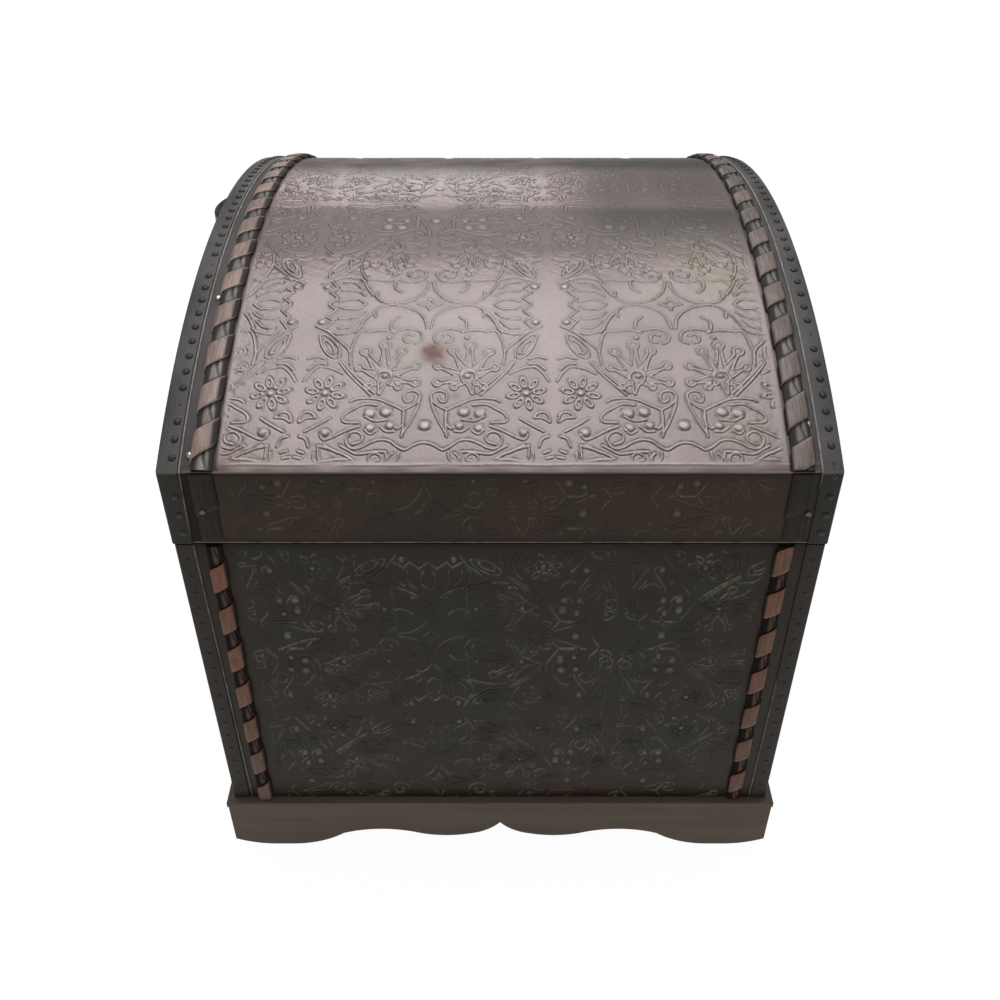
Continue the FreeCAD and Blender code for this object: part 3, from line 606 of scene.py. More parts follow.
# %% The plate repeated over a sheet
def embossed(across, up, layer=plate):
    """Height in millimetres anywhere on the sheet: fold both ways, then blend four lattice points."""
    u = np.abs((across + PLATE_ACROSS) % (2 * PLATE_ACROSS) - PLATE_ACROSS)
    span = PLATE_HIGH - PLATE_LOW
    v = PLATE_HIGH - np.abs((up - PLATE_HIGH + span) % (2 * span) - span)
    i = (u - plate_across[0]) / PLATE_STEP
    j = (v - plate_up[0]) / PLATE_STEP
    i0, j0 = i.astype(int), j.astype(int)
    fi, fj = i - i0, j - j0
    return (layer[i0, j0] * (1 - fi) * (1 - fj) + layer[i0 + 1, j0] * fi * (1 - fj)
            + layer[i0, j0 + 1] * (1 - fi) * fj + layer[i0 + 1, j0 + 1] * fi * fj)


def soft_field(seed, a, b, size):
    """Slow random swell, mostly between 0 and 1: seven cosine waves of one size, each in a random
    direction."""
    rng = np.random.default_rng(seed)
    total = np.zeros(np.broadcast(a, b).shape)
    for turn, phase in rng.uniform(0, 2 * math.pi, (7, 2)):
        total = total + np.cos((a * math.cos(turn) + b * math.sin(turn)) * 2 * math.pi / size + phase)
    return 0.5 + total / 9


print("the pattern repeats every %.1f mm across and %.1f mm up"
      % (2 * PLATE_ACROSS, 2 * (PLATE_HIGH - PLATE_LOW)))


# %% [markdown]
# ## The dome's cover
# One sheet runs over the dome, but a mesh of it fine enough for the welts would be heavy, so it is
# made as five strips that meet edge to edge on the same curve. Across runs the width, along runs
# the arc: a point at angle a from the crown lies at (x, -r sin a, centre + r cos a), with the
# radius r carrying the embossing. The mesh is finer on the front half. A last ring of points
# turns the edge in to the board, and its line is marked sharp so that the joins do not show.

# %% Sheets with a turned edge, and blotches
def tucked(points, inward):
    """Adds a ring round a sheet, moved by a vector to the board, so that its edge has thickness."""
    rows = np.concatenate([points[:1] + inward[:1], points, points[-1:] + inward[-1:]])
    pull = np.concatenate([inward[:1], inward, inward[-1:]])
    return np.concatenate([rows[:, :1] + pull[:, :1], rows, rows[:, -1:] + pull[:, -1:]], axis=1)


def framed(values):
    """The same ring for a value per point."""
    return np.pad(values, 1, mode="edge")


def spots(a, b, places):
    """Soft blotches with a ragged edge: a sum of bells exp(-(distance / size)^2)."""
    ragged = 0.78 + 0.44 * soft_field(61, a, b, 7.0)
    return np.clip(sum(share * np.exp(-((a - x) ** 2 + (b - y) ** 2) / size ** 2)
                       for x, y, size, share in places) * ragged, 0, 1)


def dome_point(x, angle, radius):
    """(x, -radius sin angle, centre + radius cos angle) for any shapes of input."""
    y, z = -radius * np.sin(angle), CENTRE_Z + radius * np.cos(angle)
    return np.stack(np.broadcast_arrays(x, y, z), -1)


def steps(low, high, step):
    """Even stops between two ends, about one step apart."""
    return np.linspace(low, high, max(int(round((high - low) / step)), 1) + 1)


print("stops over 10 mm, about 3 mm apart:", steps(0, 10, 3).round(2))


# %% Where the dome is worn flat and slack, soiled and rubbed, and where shade and sheen are painted on it
# (across, run, size, strength) of each blotch, in mm from the middle and from the front crease
RUST_SPOTS = ((-47, 95, 9.0, 1.1), (-51, 99, 5.0, 0.5), (-30.6, 59.1, 3.5, 0.5), (-20, 39, 3.0, 0.45),
              (-186, 4, 8.0, 0.5), (187, 3, 9.0, 0.4), (60, 2, 5.0, 0.2))
OLIVE_SPOTS = ((148, 207, 26.0, 0.55), (165, 163, 22.0, 0.5), (163, 31, 15.0, 0.35),
               (112, 158, 14.0, 0.35), (-160, 3, 16.0, 0.5), (-61, 89, 11.0, 0.60),
               (-62, 112, 10.0, 0.25))


def shade_band(run):
    """1 on the band before the crown, 0 off it, with eased borders: there the relief is worn lower,
    and the colour is darkened and dulled as painted shade.
    """
    return fade(run, 190, 20) * (1 - fade(run, 268, 15))


def worn_flat(x, run):
    """Share of the relief that is lost: on the right of the crown, behind it and on the band."""
    right = 0.78 * fade(x, 25, 60) * fade(run, 225, 60)
    behind = 0.35 * fade(run, 275, 25) + 0.65 * fade(run, 385, 25)
    lost = np.maximum(right, behind) * (1 - fade(run, 425, 40)) + 0.4 * shade_band(run)
    return 0.75 * np.clip(lost, 0, 1)


def sheet_slack(x, run, busy, inside):
    """Unevenness of the glued sheet in mm: a slow swell, and crumples where the welts are dense."""
    swell = 0.30 * (soft_field(8, x, run, 95) - 0.5) * inside
    crumple = 0.21 * (soft_field(31, x, run, 8.5) - 0.5) + 0.14 * (soft_field(32, x, run, 4.6) - 0.5)
    return swell + (0.3 + 0.7 * busy) * crumple


def turned_edge(x, run, edge):
    """Line about 6 mm from the crease where the sheet was turned under: a bell that wanders."""
    wander = 1.6 * (soft_field(33, x, run, 42) - 0.5)
    return np.exp(-((edge - 6.2 + wander) / 0.7) ** 2) * fade(soft_field(34, x, run, 75), 0.22, 0.2)


def dome_shade_and_grime(x, run, edge):
    """Painted shade under the laces, on the band, behind the crown and on the right; grime at the rim.
    """
    # painted shade under and beside the ropes, out to the edges
    laces = np.maximum(1 - fade(x, -191.5, 3.5), 0.9 * fade(x, 192.5, 2.5))
    cloud = 0.70 + 0.22 * soft_field(9, x, run, 85) + 0.22 * soft_field(10, x, run, 37)
    # behind, right and front_right are painted shade where the cloth shows little sheen
    behind = (0.88 - 0.26 * fade(x, 20, 90)) * fade(run, 356, 54) * cloud
    right = 0.44 * fade(x, 40, 60) * fade(run, 205, 60)
    front_right = 0.08 * fade(x, 40, 50) * (1 - fade(run, 170, 40))
    rim = (0.62 * np.exp(-(edge / 4.6) ** 2) * (0.45 + 0.9 * soft_field(35, x, run, 30))
           + 0.12 * np.exp(-edge / 7))
    crown = (1 - fade(run, 400, 140)) * (behind + right)
    return np.clip(laces + 0.40 * shade_band(run) + crown + front_right + rim, 0, 0.95)


def dome_wear(x, run, edge, fold, slope):
    """Paler share: wear and a painted highlight along the rim, wear on the fold, painted highlight on
    the far side of each welt and painted sheen on two broad patches.
    """
    # patches: painted sheen, two broad pale patches where the cloth catches more light
    patches = (0.16 * np.exp(-((x - 5) / 60) ** 2 - ((run - 118) / 40) ** 2)
               + 0.13 * np.exp(-((x + 125) / 60) ** 2 - ((run - 62) / 28) ** 2))
    return 0.10 * np.exp(-edge / 1.6) + 0.5 * np.clip(-slope / 0.8, 0, 1) + 0.5 * fold + patches


print("blotches:", len(RUST_SPOTS), "of rust and", len(OLIVE_SPOTS), "of olive")


# %% Dome cover
COVER_RADIUS = RADIUS - STRIP
COVER_ANGLE = math.asin((LID_Y - STRIP) / COVER_RADIUS)
CHANNEL_X = -51.6
EMBOSSED = (-192.0, 194.0)
FINE_RUN, ACROSS_STEP, FINE_STEP, BACK_STEP, HIDDEN_STEP = 300.0, 0.67, 0.72, 1.3, 4
DOME_STRIPS = 5


def dome_cover(name, x):
    """One strip of the sheet over the whole run, at the given stops across."""
    turn_at = COVER_ANGLE - FINE_RUN / RADIUS
    angle = -np.concatenate([steps(-COVER_ANGLE, -turn_at, FINE_STEP / RADIUS),
                             steps(-turn_at, COVER_ANGLE, BACK_STEP / RADIUS)[1:]])[None, :]
    run = (HALF_ANGLE - angle) * RADIUS
    x = x[:, None]
    inside = (fade(x, EMBOSSED[0] + 3, 4) * fade(-x, 3 - EMBOSSED[1], 4) * fade(run, 7, 5)
              * fade(DOME_RUN - run, 7, 5))
    edge = np.minimum(run, DOME_RUN - run) + 0 * x
    press = 0.97 + 0.40 * soft_field(3, x, run, 130)
    height = embossed(x - CHANNEL_X, run) * inside * press * (1 - worn_flat(x, run))
    busy = embossed(x - CHANNEL_X, run, busy_plate) * inside
    slack = sheet_slack(x, run, busy, inside) * fade(edge, 1.5, 4)
    fold = turned_edge(x, run, edge)
    points = dome_point(x, angle, COVER_RADIUS + height + slack + 0.38 * fold)
    inward = -dome_point(0 * x, angle, 1.0) * COVER + np.array((0, 0, CENTRE_Z * COVER))
    sheet = tucked(points, inward)
    piece = make_piece(name, sheet, grid_faces(*sheet.shape[:2])[:, ::-1], "lid", dome_cloth,
                       ("lid_top_cover",))
    sharpen_rim(piece, *sheet.shape[:2])
    # painted light by the slope of each welt: shade on its near side through `relief`, highlight on its
    # far side through `wear`
    slope = np.gradient(height, axis=1) / np.gradient(run, axis=1)
    store(piece, relief=framed(height - 0.22 * np.clip(slope / 0.8, 0, 1)),
          wear=framed(dome_wear(x, run, edge, fold, slope)), tone=framed(dome_shade_and_grime(x, run, edge)),
          busy=framed((0.30 + 0.20 * fade(run, 25, 80)) * busy),
          rust=framed(spots(x, run, RUST_SPOTS)), olive=framed(spots(x, run, OLIVE_SPOTS)))
    return piece


dome_edge = LID_X - STRIP - COVER
borders = np.linspace(*EMBOSSED, DOME_STRIPS + 1)
for number in range(DOME_STRIPS):
    columns = steps(borders[number], borders[number + 1], ACROSS_STEP)
    if number == 0:
        columns = np.concatenate([steps(-dome_edge, EMBOSSED[0], HIDDEN_STEP)[:-1], columns])
    if number == DOME_STRIPS - 1:
        columns = np.concatenate([columns, steps(EMBOSSED[1], dome_edge, HIDDEN_STEP)[1:]])
    made = dome_cover("dome_cover_%d" % (number + 1), columns)
    print(made.name, len(made.data.polygons), "faces")

# %% [markdown]
# ## The upright covers
# The walls of the case and the skirt of the lid carry the same sheet turned a quarter, so the
# channel runs level. A plane with a Displace modifier would need the pattern as an image, so each
# wall is a flat grid whose height above the board is the embossing itself. One function makes all
# of them: a wall is given by a corner of it, the direction along it and the direction out of it.
# The gables' top follows the arc, and the grid's rows close up towards it.

# %% Wall covers
CHANNEL_Z = 261.0
X_WAY, Y_WAY, UP = (1, 0, 0), (0, 1, 0), (0, 0, 1)
PLAIN_RIM, BORDER_EASE = 4, 4
# x to the left of which the skirt gets painted shade by the lace
SKIRT_LACE_X = -206


def wall_wear(height, pips, a, b, step, seed):
    """Paler share: painted highlight on the upper side of the welts, in patches, and wear on the round
    pips.
    """
    facing_up = -np.gradient(height, axis=1) / step
    patches = fade(soft_field(seed + 40, a, b, 38), 0.25, 0.40)
    sheen_and_wear = np.clip(facing_up / 0.50, 0, 1) ** 1.5 * patches
    return 0.9 * np.maximum(sheen_and_wear, pips * (0.3 + 0.7 * soft_field(seed + 41, a, b, 31)))


def wall_cover(name, node_name, body, corner, along, out, size, step, seed,
               shift=(0.0, 0.0), calm=(20, 20), part=(0.0, 1.0), finish=wall_cloth):
    """Flat sheet from a corner: position = corner + a*along + b*up + height*out. The second size may
    be a function of a, `shift` moves the pattern, `calm` is the plain border at either end and `part`
    the share of the width that this piece covers."""
    corner, along, out, up = (np.array(v, float) for v in (corner, along, out, UP))
    a = steps(size[0] * part[0], size[0] * part[1], step)[:, None]
    limit = size[1](a) if callable(size[1]) else size[1]
    b = steps(0, 1, step / np.max(limit))[None, :] * limit
    position = a * along.sum() + corner @ np.abs(along)
    pattern = (b + corner[2] - CHANNEL_Z + shift[1], PLATE_HIGH + position - CHANNEL_X + shift[0])
    inside = (fade(a, calm[0], BORDER_EASE) * fade(size[0] - a, calm[1], BORDER_EASE)
              * fade(b, PLAIN_RIM, BORDER_EASE) * fade(limit - b, PLAIN_RIM, BORDER_EASE))
    height = embossed(*pattern) * inside * (0.70 + 0.50 * soft_field(seed, a, b, 110))
    slack = 0.3 * (soft_field(seed + 20, a, b, 90) - 0.5) * inside
    points = corner + a[..., None] * along + b[..., None] * up + (height + slack)[..., None] * out
    sheet = tucked(points, np.broadcast_to(-out * COVER, points.shape))
    faces = grid_faces(*sheet.shape[:2])
    if np.dot(np.cross(along, up), out) < 0:
        faces = faces[:, ::-1]
    piece = make_piece(name, sheet, faces, body, finish, (node_name,))
    sharpen_rim(piece, *sheet.shape[:2])
    edge = np.minimum(b, limit - b) + 0 * a
    # painted shade along the top and the bottom of each wall; on the skirt also beside the lace at its
    # left end
    painted_shade = 0.5 * np.exp(-edge / 5)
    if finish is skirt_cloth:
        painted_shade = np.maximum(painted_shade, 0.60 * (1 - fade(position, SKIRT_LACE_X, 6)))
    pips = embossed(*pattern, pip_plate) ** 2 * inside
    store(piece, relief=framed(height), tone=framed(painted_shade),
          wear=framed(wall_wear(height, pips, a, b, step, seed)))
    return piece


print("the channel runs level at %.0f mm over the floor" % CHANNEL_Z)


# %% The case's four covers
NEAR_STEP, FAR_STEP, GABLE_STEP = 0.85, 1.7, 1.55
front_y, side_x = BODY_Y - STRIP, BODY_X - STRIP
SEAT = LEDGE - 8.0
wall_high = RIM - SEAT
for number in range(3):
    wall_cover("front_wall_cover_%d" % (number + 1), "front_cover", "trunk_body",
               (-side_x, -front_y, SEAT), X_WAY, (0, -1, 0), (2 * side_x, wall_high), NEAR_STEP,
               seed=1, calm=(38, 36), part=(number / 3, (number + 1) / 3))
wall_cover("back_wall_cover", "back_cover", "trunk_body", (-side_x, front_y, SEAT), X_WAY,
           (0, 1, 0), (2 * side_x, wall_high), FAR_STEP, seed=2)
for word, side, seed in (("left", -1, 3), ("right", 1, 4)):
    wall_cover(word + "_wall_cover", word + "_cover", "trunk_body",
               (side * side_x, COVER - front_y, SEAT), Y_WAY, (side, 0, 0),
               (2 * (front_y - COVER), wall_high), FAR_STEP,
               seed=seed, shift=(-35 * side, 0), calm=(12, 12))

# %% The lid's upright covers
lid_y, lid_x = LID_Y - STRIP, LID_X - STRIP
TOP_GAP = 0.3
skirt = CENTRE_Z + math.sqrt(COVER_RADIUS ** 2 - lid_y ** 2) - LID_LOW - TOP_GAP
for word, side, step in (("front", -1, NEAR_STEP), ("back", 1, FAR_STEP)):
    wall_cover("skirt_cover_" + word, "lid_%s_cover" % word, "lid",
               (-dome_edge, side * lid_y, LID_LOW), X_WAY, (0, side, 0), (2 * dome_edge, skirt),
               step, seed=11, shift=(0, 55), calm=(42, 40), finish=skirt_cloth)


def gable_top(a):
    """Height of the arc over the lid's lower edge, at a distance from the front."""
    return CENTRE_Z + np.sqrt(COVER_RADIUS ** 2 - (a - lid_y) ** 2) - LID_LOW - TOP_GAP


for word, side, seed in (("left", -1, 13), ("right", 1, 14)):
    wall_cover("gable_cover_" + word, "lid_%s_cover" % word, "lid",
               (side * lid_x, -lid_y, LID_LOW), Y_WAY, (side, 0, 0), (2 * lid_y, gable_top),
               GABLE_STEP, seed=seed, shift=(40 * side, 55), calm=(10, 10))

# %% [markdown]
# ## Studded strips
# A strip is a narrow dark band, folded over the corner so that no raw edge shows. It is a profile
# carried along a path: up the front of the lid, over the crease, round the dome and down again.
# A curve with a bevel object could carry it too, but its inner line would cross itself at the
# crease. Here the points past the mitre are drawn back to it. The profile is a pair of lines, the
# outside and the inside, so that the ends close neatly.

# %% A band along a path
STRIP_FOLD = 1.6
DOME_STOPS, SKIRT_STOPS, CREASE_SOFT = 141, 12, 2.0


def band_along(outer, inner, place):
    """Closed band: outer and inner lines of the section, placed at each stop of a path.
    place(across, inset) gives an array of stops x section points x 3."""
    loop = np.concatenate([outer, inner[::-1]])
    sheet = place(loop[:, 0], loop[:, 1])
    stops, count = sheet.shape[:2]
    faces = [grid_faces(stops, count, wrap_columns=True)]
    half = len(outer)
    k = np.arange(half - 1)
    cap = np.stack([k, k + 1, count - 2 - k, count - 1 - k], -1)
    faces += [cap, cap[:, ::-1] + (stops - 1) * count]
    return sheet, np.concatenate(faces)


def ell_section(width, back, thick):
    """L section as (distance from the corner edge, inset from the face): a flat with an eased edge,
    the rounded corner and the return."""
    turn = np.linspace(0, math.pi / 2, 6)
    flat = [(width, 0.7), (width - 0.15, 0.25), (width - 0.7, 0.0), (width * 0.5, 0.0)]
    corner = [(STRIP_FOLD * (1 - math.sin(t)), STRIP_FOLD * (1 - math.cos(t))) for t in turn]
    side = [(0.0, back * 0.5), (0.0, back - 0.6), (0.2, back - 0.15)]
    outer = np.array(flat + corner + side)
    inner = np.maximum(outer, thick)
    inner[:, 0] = np.where(outer[:, 0] >= width - 0.16, outer[:, 0], inner[:, 0])
    inner[-1] = (thick, back - 0.15)
    return outer, inner


def rounded_path():
    """Stops up the front, over both creases and down the back: (y, z) and outward (ny, nz). Round a
    crease they follow start*(1 - t)^2 + corner*2t(1 - t) + end*t^2. The back mirrors the front."""
    rise = np.linspace(LID_LOW, CREASE - CREASE_SOFT, SKIRT_STOPS)
    front = np.stack([np.full(SKIRT_STOPS, -LID_Y), rise, np.full(SKIRT_STOPS, -1.0),
                      np.zeros(SKIRT_STOPS)], -1)
    start_angle = HALF_ANGLE - CREASE_SOFT / RADIUS
    angles = np.linspace(start_angle, -start_angle, DOME_STOPS)
    over = np.stack([-RADIUS * np.sin(angles), CENTRE_Z + RADIUS * np.cos(angles),
                     -np.sin(angles), np.cos(angles)], -1)
    t = np.linspace(0, 1, 6)[1:-1, None]
    start, end, corner = front[-1], over[0], np.array((-LID_Y, CREASE))
    bend = start[:2] * (1 - t) ** 2 + 2 * t * (1 - t) * corner + end[:2] * t ** 2
    normal = start[2:] * (1 - t) + end[2:] * t
    normal = normal / np.linalg.norm(normal, axis=1, keepdims=True)
    half = np.vstack([front, np.hstack([bend, normal]), over[:DOME_STOPS // 2 + 1]])
    back = half[:-1][::-1] * np.array((-1, 1, -1, 1))
    return np.vstack([half, back])


PATH = rounded_path()
ON_SKIRT = np.abs(PATH[:, 0]) > LID_Y - 0.01
print("path over the lid:", len(PATH), "stops,", ON_SKIRT.sum(), "of them on the skirt")

# %% Leather of the strips
# SHADED_LEATHER is the painted shade of the strips where they run down the upright skirt
WORN_LEATHER, SHADED_LEATHER = (0.22, 0.21, 0.20), (0.022, 0.0195, 0.015)


def strip_finish(name, low, high, rough):
    """Dark grained leather; `wear` rubs it pale and `tone` darkens it with painted shade."""
    finish, tree, shader = new_finish(name, Specular_IOR_Level=0.16)
    place = place_of(tree)
    broad = noise(tree, place, 14.0, 5.0, 0.6)
    fine = noise(tree, place, 500.0, 3.0, 0.6)
    grain = node(tree, "TexVoronoi", {"Vector": place, "Scale": 900.0}).outputs["Distance"]
    base = mixed(tree, between(tree, broad, 0.38, 0.66), low, high)
    base = mixed(tree, between(tree, fine, 0.58, 0.8, 0, 0.35), base, toned(high, 2.2))
    worn = maths(tree, "MULTIPLY", field(tree, "wear"), between(tree, fine, 0.35, 0.6, 0.35, 1.0))
    base = mixed(tree, worn, base, WORN_LEATHER)
    base = mixed(tree, field(tree, "tone"), base, SHADED_LEATHER)
    tree.links.new(base, shader.inputs["Base Color"])
    sheen = between(tree, broad, 0.3, 0.7, rough - 0.06, rough + 0.08)
    tree.links.new(sheen, shader.inputs["Roughness"])
    normal = bump(tree, grain, 0.0002, 0.6)
    tree.links.new(bump(tree, fine, 0.0003, 0.35, normal), shader.inputs["Normal"])
    return finish


strip_leather = strip_finish("strip_leather", (0.048, 0.045, 0.043), (0.084, 0.080, 0.077), 0.40)
# the corners' leather is a darker copy of the strip leather: painted shade for the upright faces
shaded_corner_leather = strip_finish("shaded_corner_leather", (0.022, 0.018, 0.0135), (0.034, 0.027, 0.021), 0.46)
stud_leather = strip_finish("stud_leather", (0.030, 0.029, 0.028), (0.050, 0.048, 0.046), 0.30)
print("leathers:", strip_leather.name, shaded_corner_leather.name, stud_leather.name)

# %% The strips in their places
LID_STRIP_WIDTH, LID_STRIP_RETURN = 14.5, 8.0
CORNER_WIDTH, CORNER_RETURN, CORNER_STOPS = 13.2, 9.0, 24


def lid_strip(side):
    """One end strip from the front skirt over the dome to the back skirt."""
    outer, inner = ell_section(LID_STRIP_WIDTH, LID_STRIP_RETURN, STRIP)

    def place(edge, inset):
        """Points that would cross the mitre at the crease are drawn back to its line."""
        x = side * (LID_X - edge)[None, :] + 0 * PATH[:, :1]
        y, z = np.moveaxis(PATH[:, None, :2] - inset[None, :, None] * PATH[:, None, 2:], -1, 0)
        deep, arc = LID_Y - inset[None, :], RADIUS - inset[None, :]
        mitre_z = CENTRE_Z + np.sqrt(arc ** 2 - deep ** 2)
        past = (np.abs(y) > deep + 0.001) | (np.hypot(y, z - CENTRE_Z) > arc + 0.001)
        return np.stack([x, np.where(past, np.sign(y) * deep, y), np.where(past, mitre_z, z)], -1)

    sheet, faces = band_along(outer, inner, place)
    if side < 0:
        faces = faces[:, ::-1]
    name = "left" if side < 0 else "right"
    piece = make_piece("lid_edge_strip_" + name, sheet, faces, "lid", strip_leather,
                       ("lid_strip_" + name,), angle=40)
    from_crease = np.hypot(LID_Y - np.abs(PATH[:, 0]), CREASE - PATH[:, 1])
    around = len(outer) * 2
    # wear: wear on the crease; tone: painted shade on the parts down the skirt
    store(piece, wear=np.repeat(0.6 * np.exp(-(from_crease / 1.2) ** 2), around),
          tone=np.repeat(np.where(ON_SKIRT, 0.90, 0.0), around))
    return piece


def corner_strip(side, front):
    """One upright strip of the case, from the ledge to the rim."""
    outer, inner = ell_section(CORNER_WIDTH, CORNER_RETURN, STRIP)
    z = np.linspace(LEDGE, RIM, CORNER_STOPS)

    def place(edge, inset):
        """The same section at every height."""
        x = side * (BODY_X - edge)[None, :] + 0 * z[:, None]
        y = front * (BODY_Y - inset)[None, :] + 0 * z[:, None]
        return np.stack([x, y, z[:, None] + 0 * x], -1)

    sheet, faces = band_along(outer, inner, place)
    if side * front > 0:
        faces = faces[:, ::-1]
    name = ("front" if front < 0 else "back") + ("_left" if side < 0 else "_right")
    return make_piece("corner_band_" + name, sheet, faces, "trunk_body", shaded_corner_leather,
                      ("corner_strip_" + name,), angle=40)


for side in (-1, 1):
    lid_strip(side)
    for front in (-1, 1):
        corner_strip(side, front)

# %% [markdown]
# ## Small parts that repeat
# Studs and nails are low domes. Each could be an object of its own, but there are over a hundred,
# so one small grid of rings is copied by arrays of places and outward directions, and a whole row
# is one mesh. A few faces each is enough.

# %% Domes set in rows
def dome_points(rings, around, height):
    """Low dome of unit radius: rings shrink as the cosine and rise as the sine."""
    rise = np.linspace(0, math.pi / 2, rings + 1)
    turn = np.arange(around) * 2 * math.pi / around
    ring = np.stack([np.cos(rise)[:, None] * np.cos(turn), np.cos(rise)[:, None] * np.sin(turn),
                     np.sin(rise)[:, None] * height + 0 * turn], -1)
    ring[-1, :, :2] = ring[-1, :, :2] * 0 + ring[-2, :, :2] * 0.08
    return ring


def set_domes(name, places, outs, shape, body, finish, rings=3, around=8):
    """Copies of the dome: place + radius * (x * side + y * other side + z * out). The shape is the
    radius in mm and the height as a share of it."""
    radius, height = shape
    places, outs = np.asarray(places, float), np.asarray(outs, float)
    outs = outs / np.linalg.norm(outs, axis=1, keepdims=True)
    helper = np.where(np.abs(outs[:, :1]) > 0.9, (0.0, 0.0, 1.0), (1.0, 0.0, 0.0))
    side = np.cross(helper, outs)
    side /= np.linalg.norm(side, axis=1, keepdims=True)
    other = np.cross(outs, side)
    local = dome_points(rings, around, height).reshape(-1, 3)
    offset = (local[None, :, :1] * side[:, None] + local[None, :, 1:2] * other[:, None]
              + local[None, :, 2:] * outs[:, None])
    points = places[:, None] + radius * offset
    faces = grid_faces(rings + 1, around, wrap_columns=True)
    k = np.arange(around // 2 - 1)
    top = rings * around
    cap = np.stack([top + k, top + k + 1, top + around - 2 - k, top + around - 1 - k], -1)
    each = np.concatenate([faces[:, ::-1], cap, cap[:, ::-1] - top])
    step = rings * around + around
    every = (each[None] + (np.arange(len(places)) * step)[:, None, None]).reshape(-1, 4)
    return make_piece(name, points, every, body, finish)


print("points in one stud:", dome_points(3, 8, 0.5).size // 3)


# %% Plain and metal finishes
def plain_finish(name, colour, other, rough, grain_scale, depth, **sockets):
    """Two close tones in clouds with a fine grain of a depth in metres, for paper, rubber and strap."""
    finish, tree, shader = new_finish(name, **sockets)
    place = place_of(tree)
    cloud = noise(tree, place, 14.0, 5.0, 0.6)
    grain = noise(tree, place, grain_scale, 3.0, 0.6)
    base = mixed(tree, between(tree, cloud, 0.35, 0.7), colour, other)
    tree.links.new(base, shader.inputs["Base Color"])
    sheen = between(tree, grain, 0.3, 0.7, rough - 0.05, rough + 0.05)
    tree.links.new(sheen, shader.inputs["Roughness"])
    tree.links.new(bump(tree, grain, depth, 0.4), shader.inputs["Normal"])
    return finish


def metal_finish(name, bright, dark, rough):
    """Bare metal with dull clouds and fine scratches."""
    finish, tree, shader = new_finish(name, Metallic=1.0)
    place = place_of(tree)
    cloud = noise(tree, place, 60.0, 4.0, 0.6)
    fine = noise(tree, place, 700.0, 2.0, 0.5)
    base = mixed(tree, between(tree, cloud, 0.35, 0.7), bright, dark)
    tree.links.new(base, shader.inputs["Base Color"])
    sheen = between(tree, cloud, 0.3, 0.7, rough - 0.06, rough + 0.1)
    tree.links.new(sheen, shader.inputs["Roughness"])
    tree.links.new(bump(tree, fine, 0.0001, 0.3), shader.inputs["Normal"])
    return finish


nail_metal = metal_finish("nail_metal", (0.60, 0.58, 0.54), (0.34, 0.32, 0.29), 0.32)
cap_metal = metal_finish("cap_metal", (0.20, 0.19, 0.18), (0.08, 0.075, 0.07), 0.30)
hinge_metal = metal_finish("hinge_metal", (0.40, 0.38, 0.35), (0.20, 0.17, 0.14), 0.42)
pewter = metal_finish("pewter", (0.16, 0.14, 0.11), (0.05, 0.042, 0.034), 0.38)
pad_rubber = plain_finish("pad_rubber", (0.012, 0.012, 0.012), (0.02, 0.02, 0.02), 0.75, 600.0, 0.0001)
print("metals:", nail_metal.name, cap_metal.name, hinge_metal.name, pewter.name)

# %% Rows of studs
LID_STUD, STUD_HOLE, CORNER_STUD = (2.9, 0.50), (1.1, 0.10), (1.8, 0.38)
CORNER_PITCH = 16.3


def on_dome(run, x, lift=0.0):
    """Point and outward direction on the strip at a run from the front crease."""
    angle = HALF_ANGLE - np.asarray(run, float) / RADIUS
    point = dome_point(x, angle, RADIUS + lift)
    return point, np.stack(np.broadcast_arrays(0.0, -np.sin(angle), np.cos(angle)), -1)


def upright(x, z, y):
    """Places down an upright face and the direction they look in."""
    z = np.asarray(z, float)
    places = np.stack(np.broadcast_arrays(np.asarray(x, float), y, z), -1)
    return places, np.tile((0.0, math.copysign(1, y), 0.0), (len(z), 1))


# side, x, runs over the dome, which of them are lost, heights on the skirt, x and top of the corner
STUD_ROWS = (
    ("left", -220.0, 10.7 + 13.6 * np.arange(40), (3, 13), (398.8, 382.4, 366.1), -222.0, 339.5),
    ("right", 223.3, np.concatenate([6.4 + 13.2 * np.arange(9), 112.1 + 13.8 * np.arange(1, 33)]),
     (0, 8), (416.0, 398.8, 382.4, 366.1), 222.6, 339.1),
)
for word, x, runs, lost, skirt_rows, corner_x, corner_top in STUD_ROWS:
    kept = np.delete(runs, lost)
    kept = kept[kept < DOME_RUN - 6]
    parts = [on_dome(kept, x)] + [upright(x, skirt_rows, front * LID_Y) for front in (-1, 1)]
    places, outs = (np.vstack(both) for both in zip(*parts))
    set_domes("lid_studs_" + word, places, outs, LID_STUD, "lid", stud_leather)
    holes, hole_outs = on_dome(runs[list(lost)], x)
    set_domes("lid_stud_holes_" + word, holes, hole_outs, STUD_HOLE, "lid", pad_rubber)
    rows = np.arange(corner_top, LEDGE + 8, -CORNER_PITCH)
    parts = [upright(corner_x, rows, front * BODY_Y) for front in (-1, 1)]
    places, outs = (np.vstack(both) for both in zip(*parts))
    set_domes("corner_studs_" + word, places, outs, CORNER_STUD, "trunk_body", shaded_corner_leather)
    print(word, "studs on the lid:", len(kept) + 2 * len(skirt_rows), "on the corners:", len(places))

# %% [markdown]
# ## The pale line beside each strip
# The inner edge of every strip ends in a thin bead. It is a small round rod on the edge, swept along
# the same path. Over the dome it is pale, a painted highlight all the way, and on the skirt and on
# the corners it is darker, a painted shade. As part of the strip's own profile it would share its
# finish, so it is a piece of its own.

# %% Bead finishes and a round rod
ROD_SIDES = 8


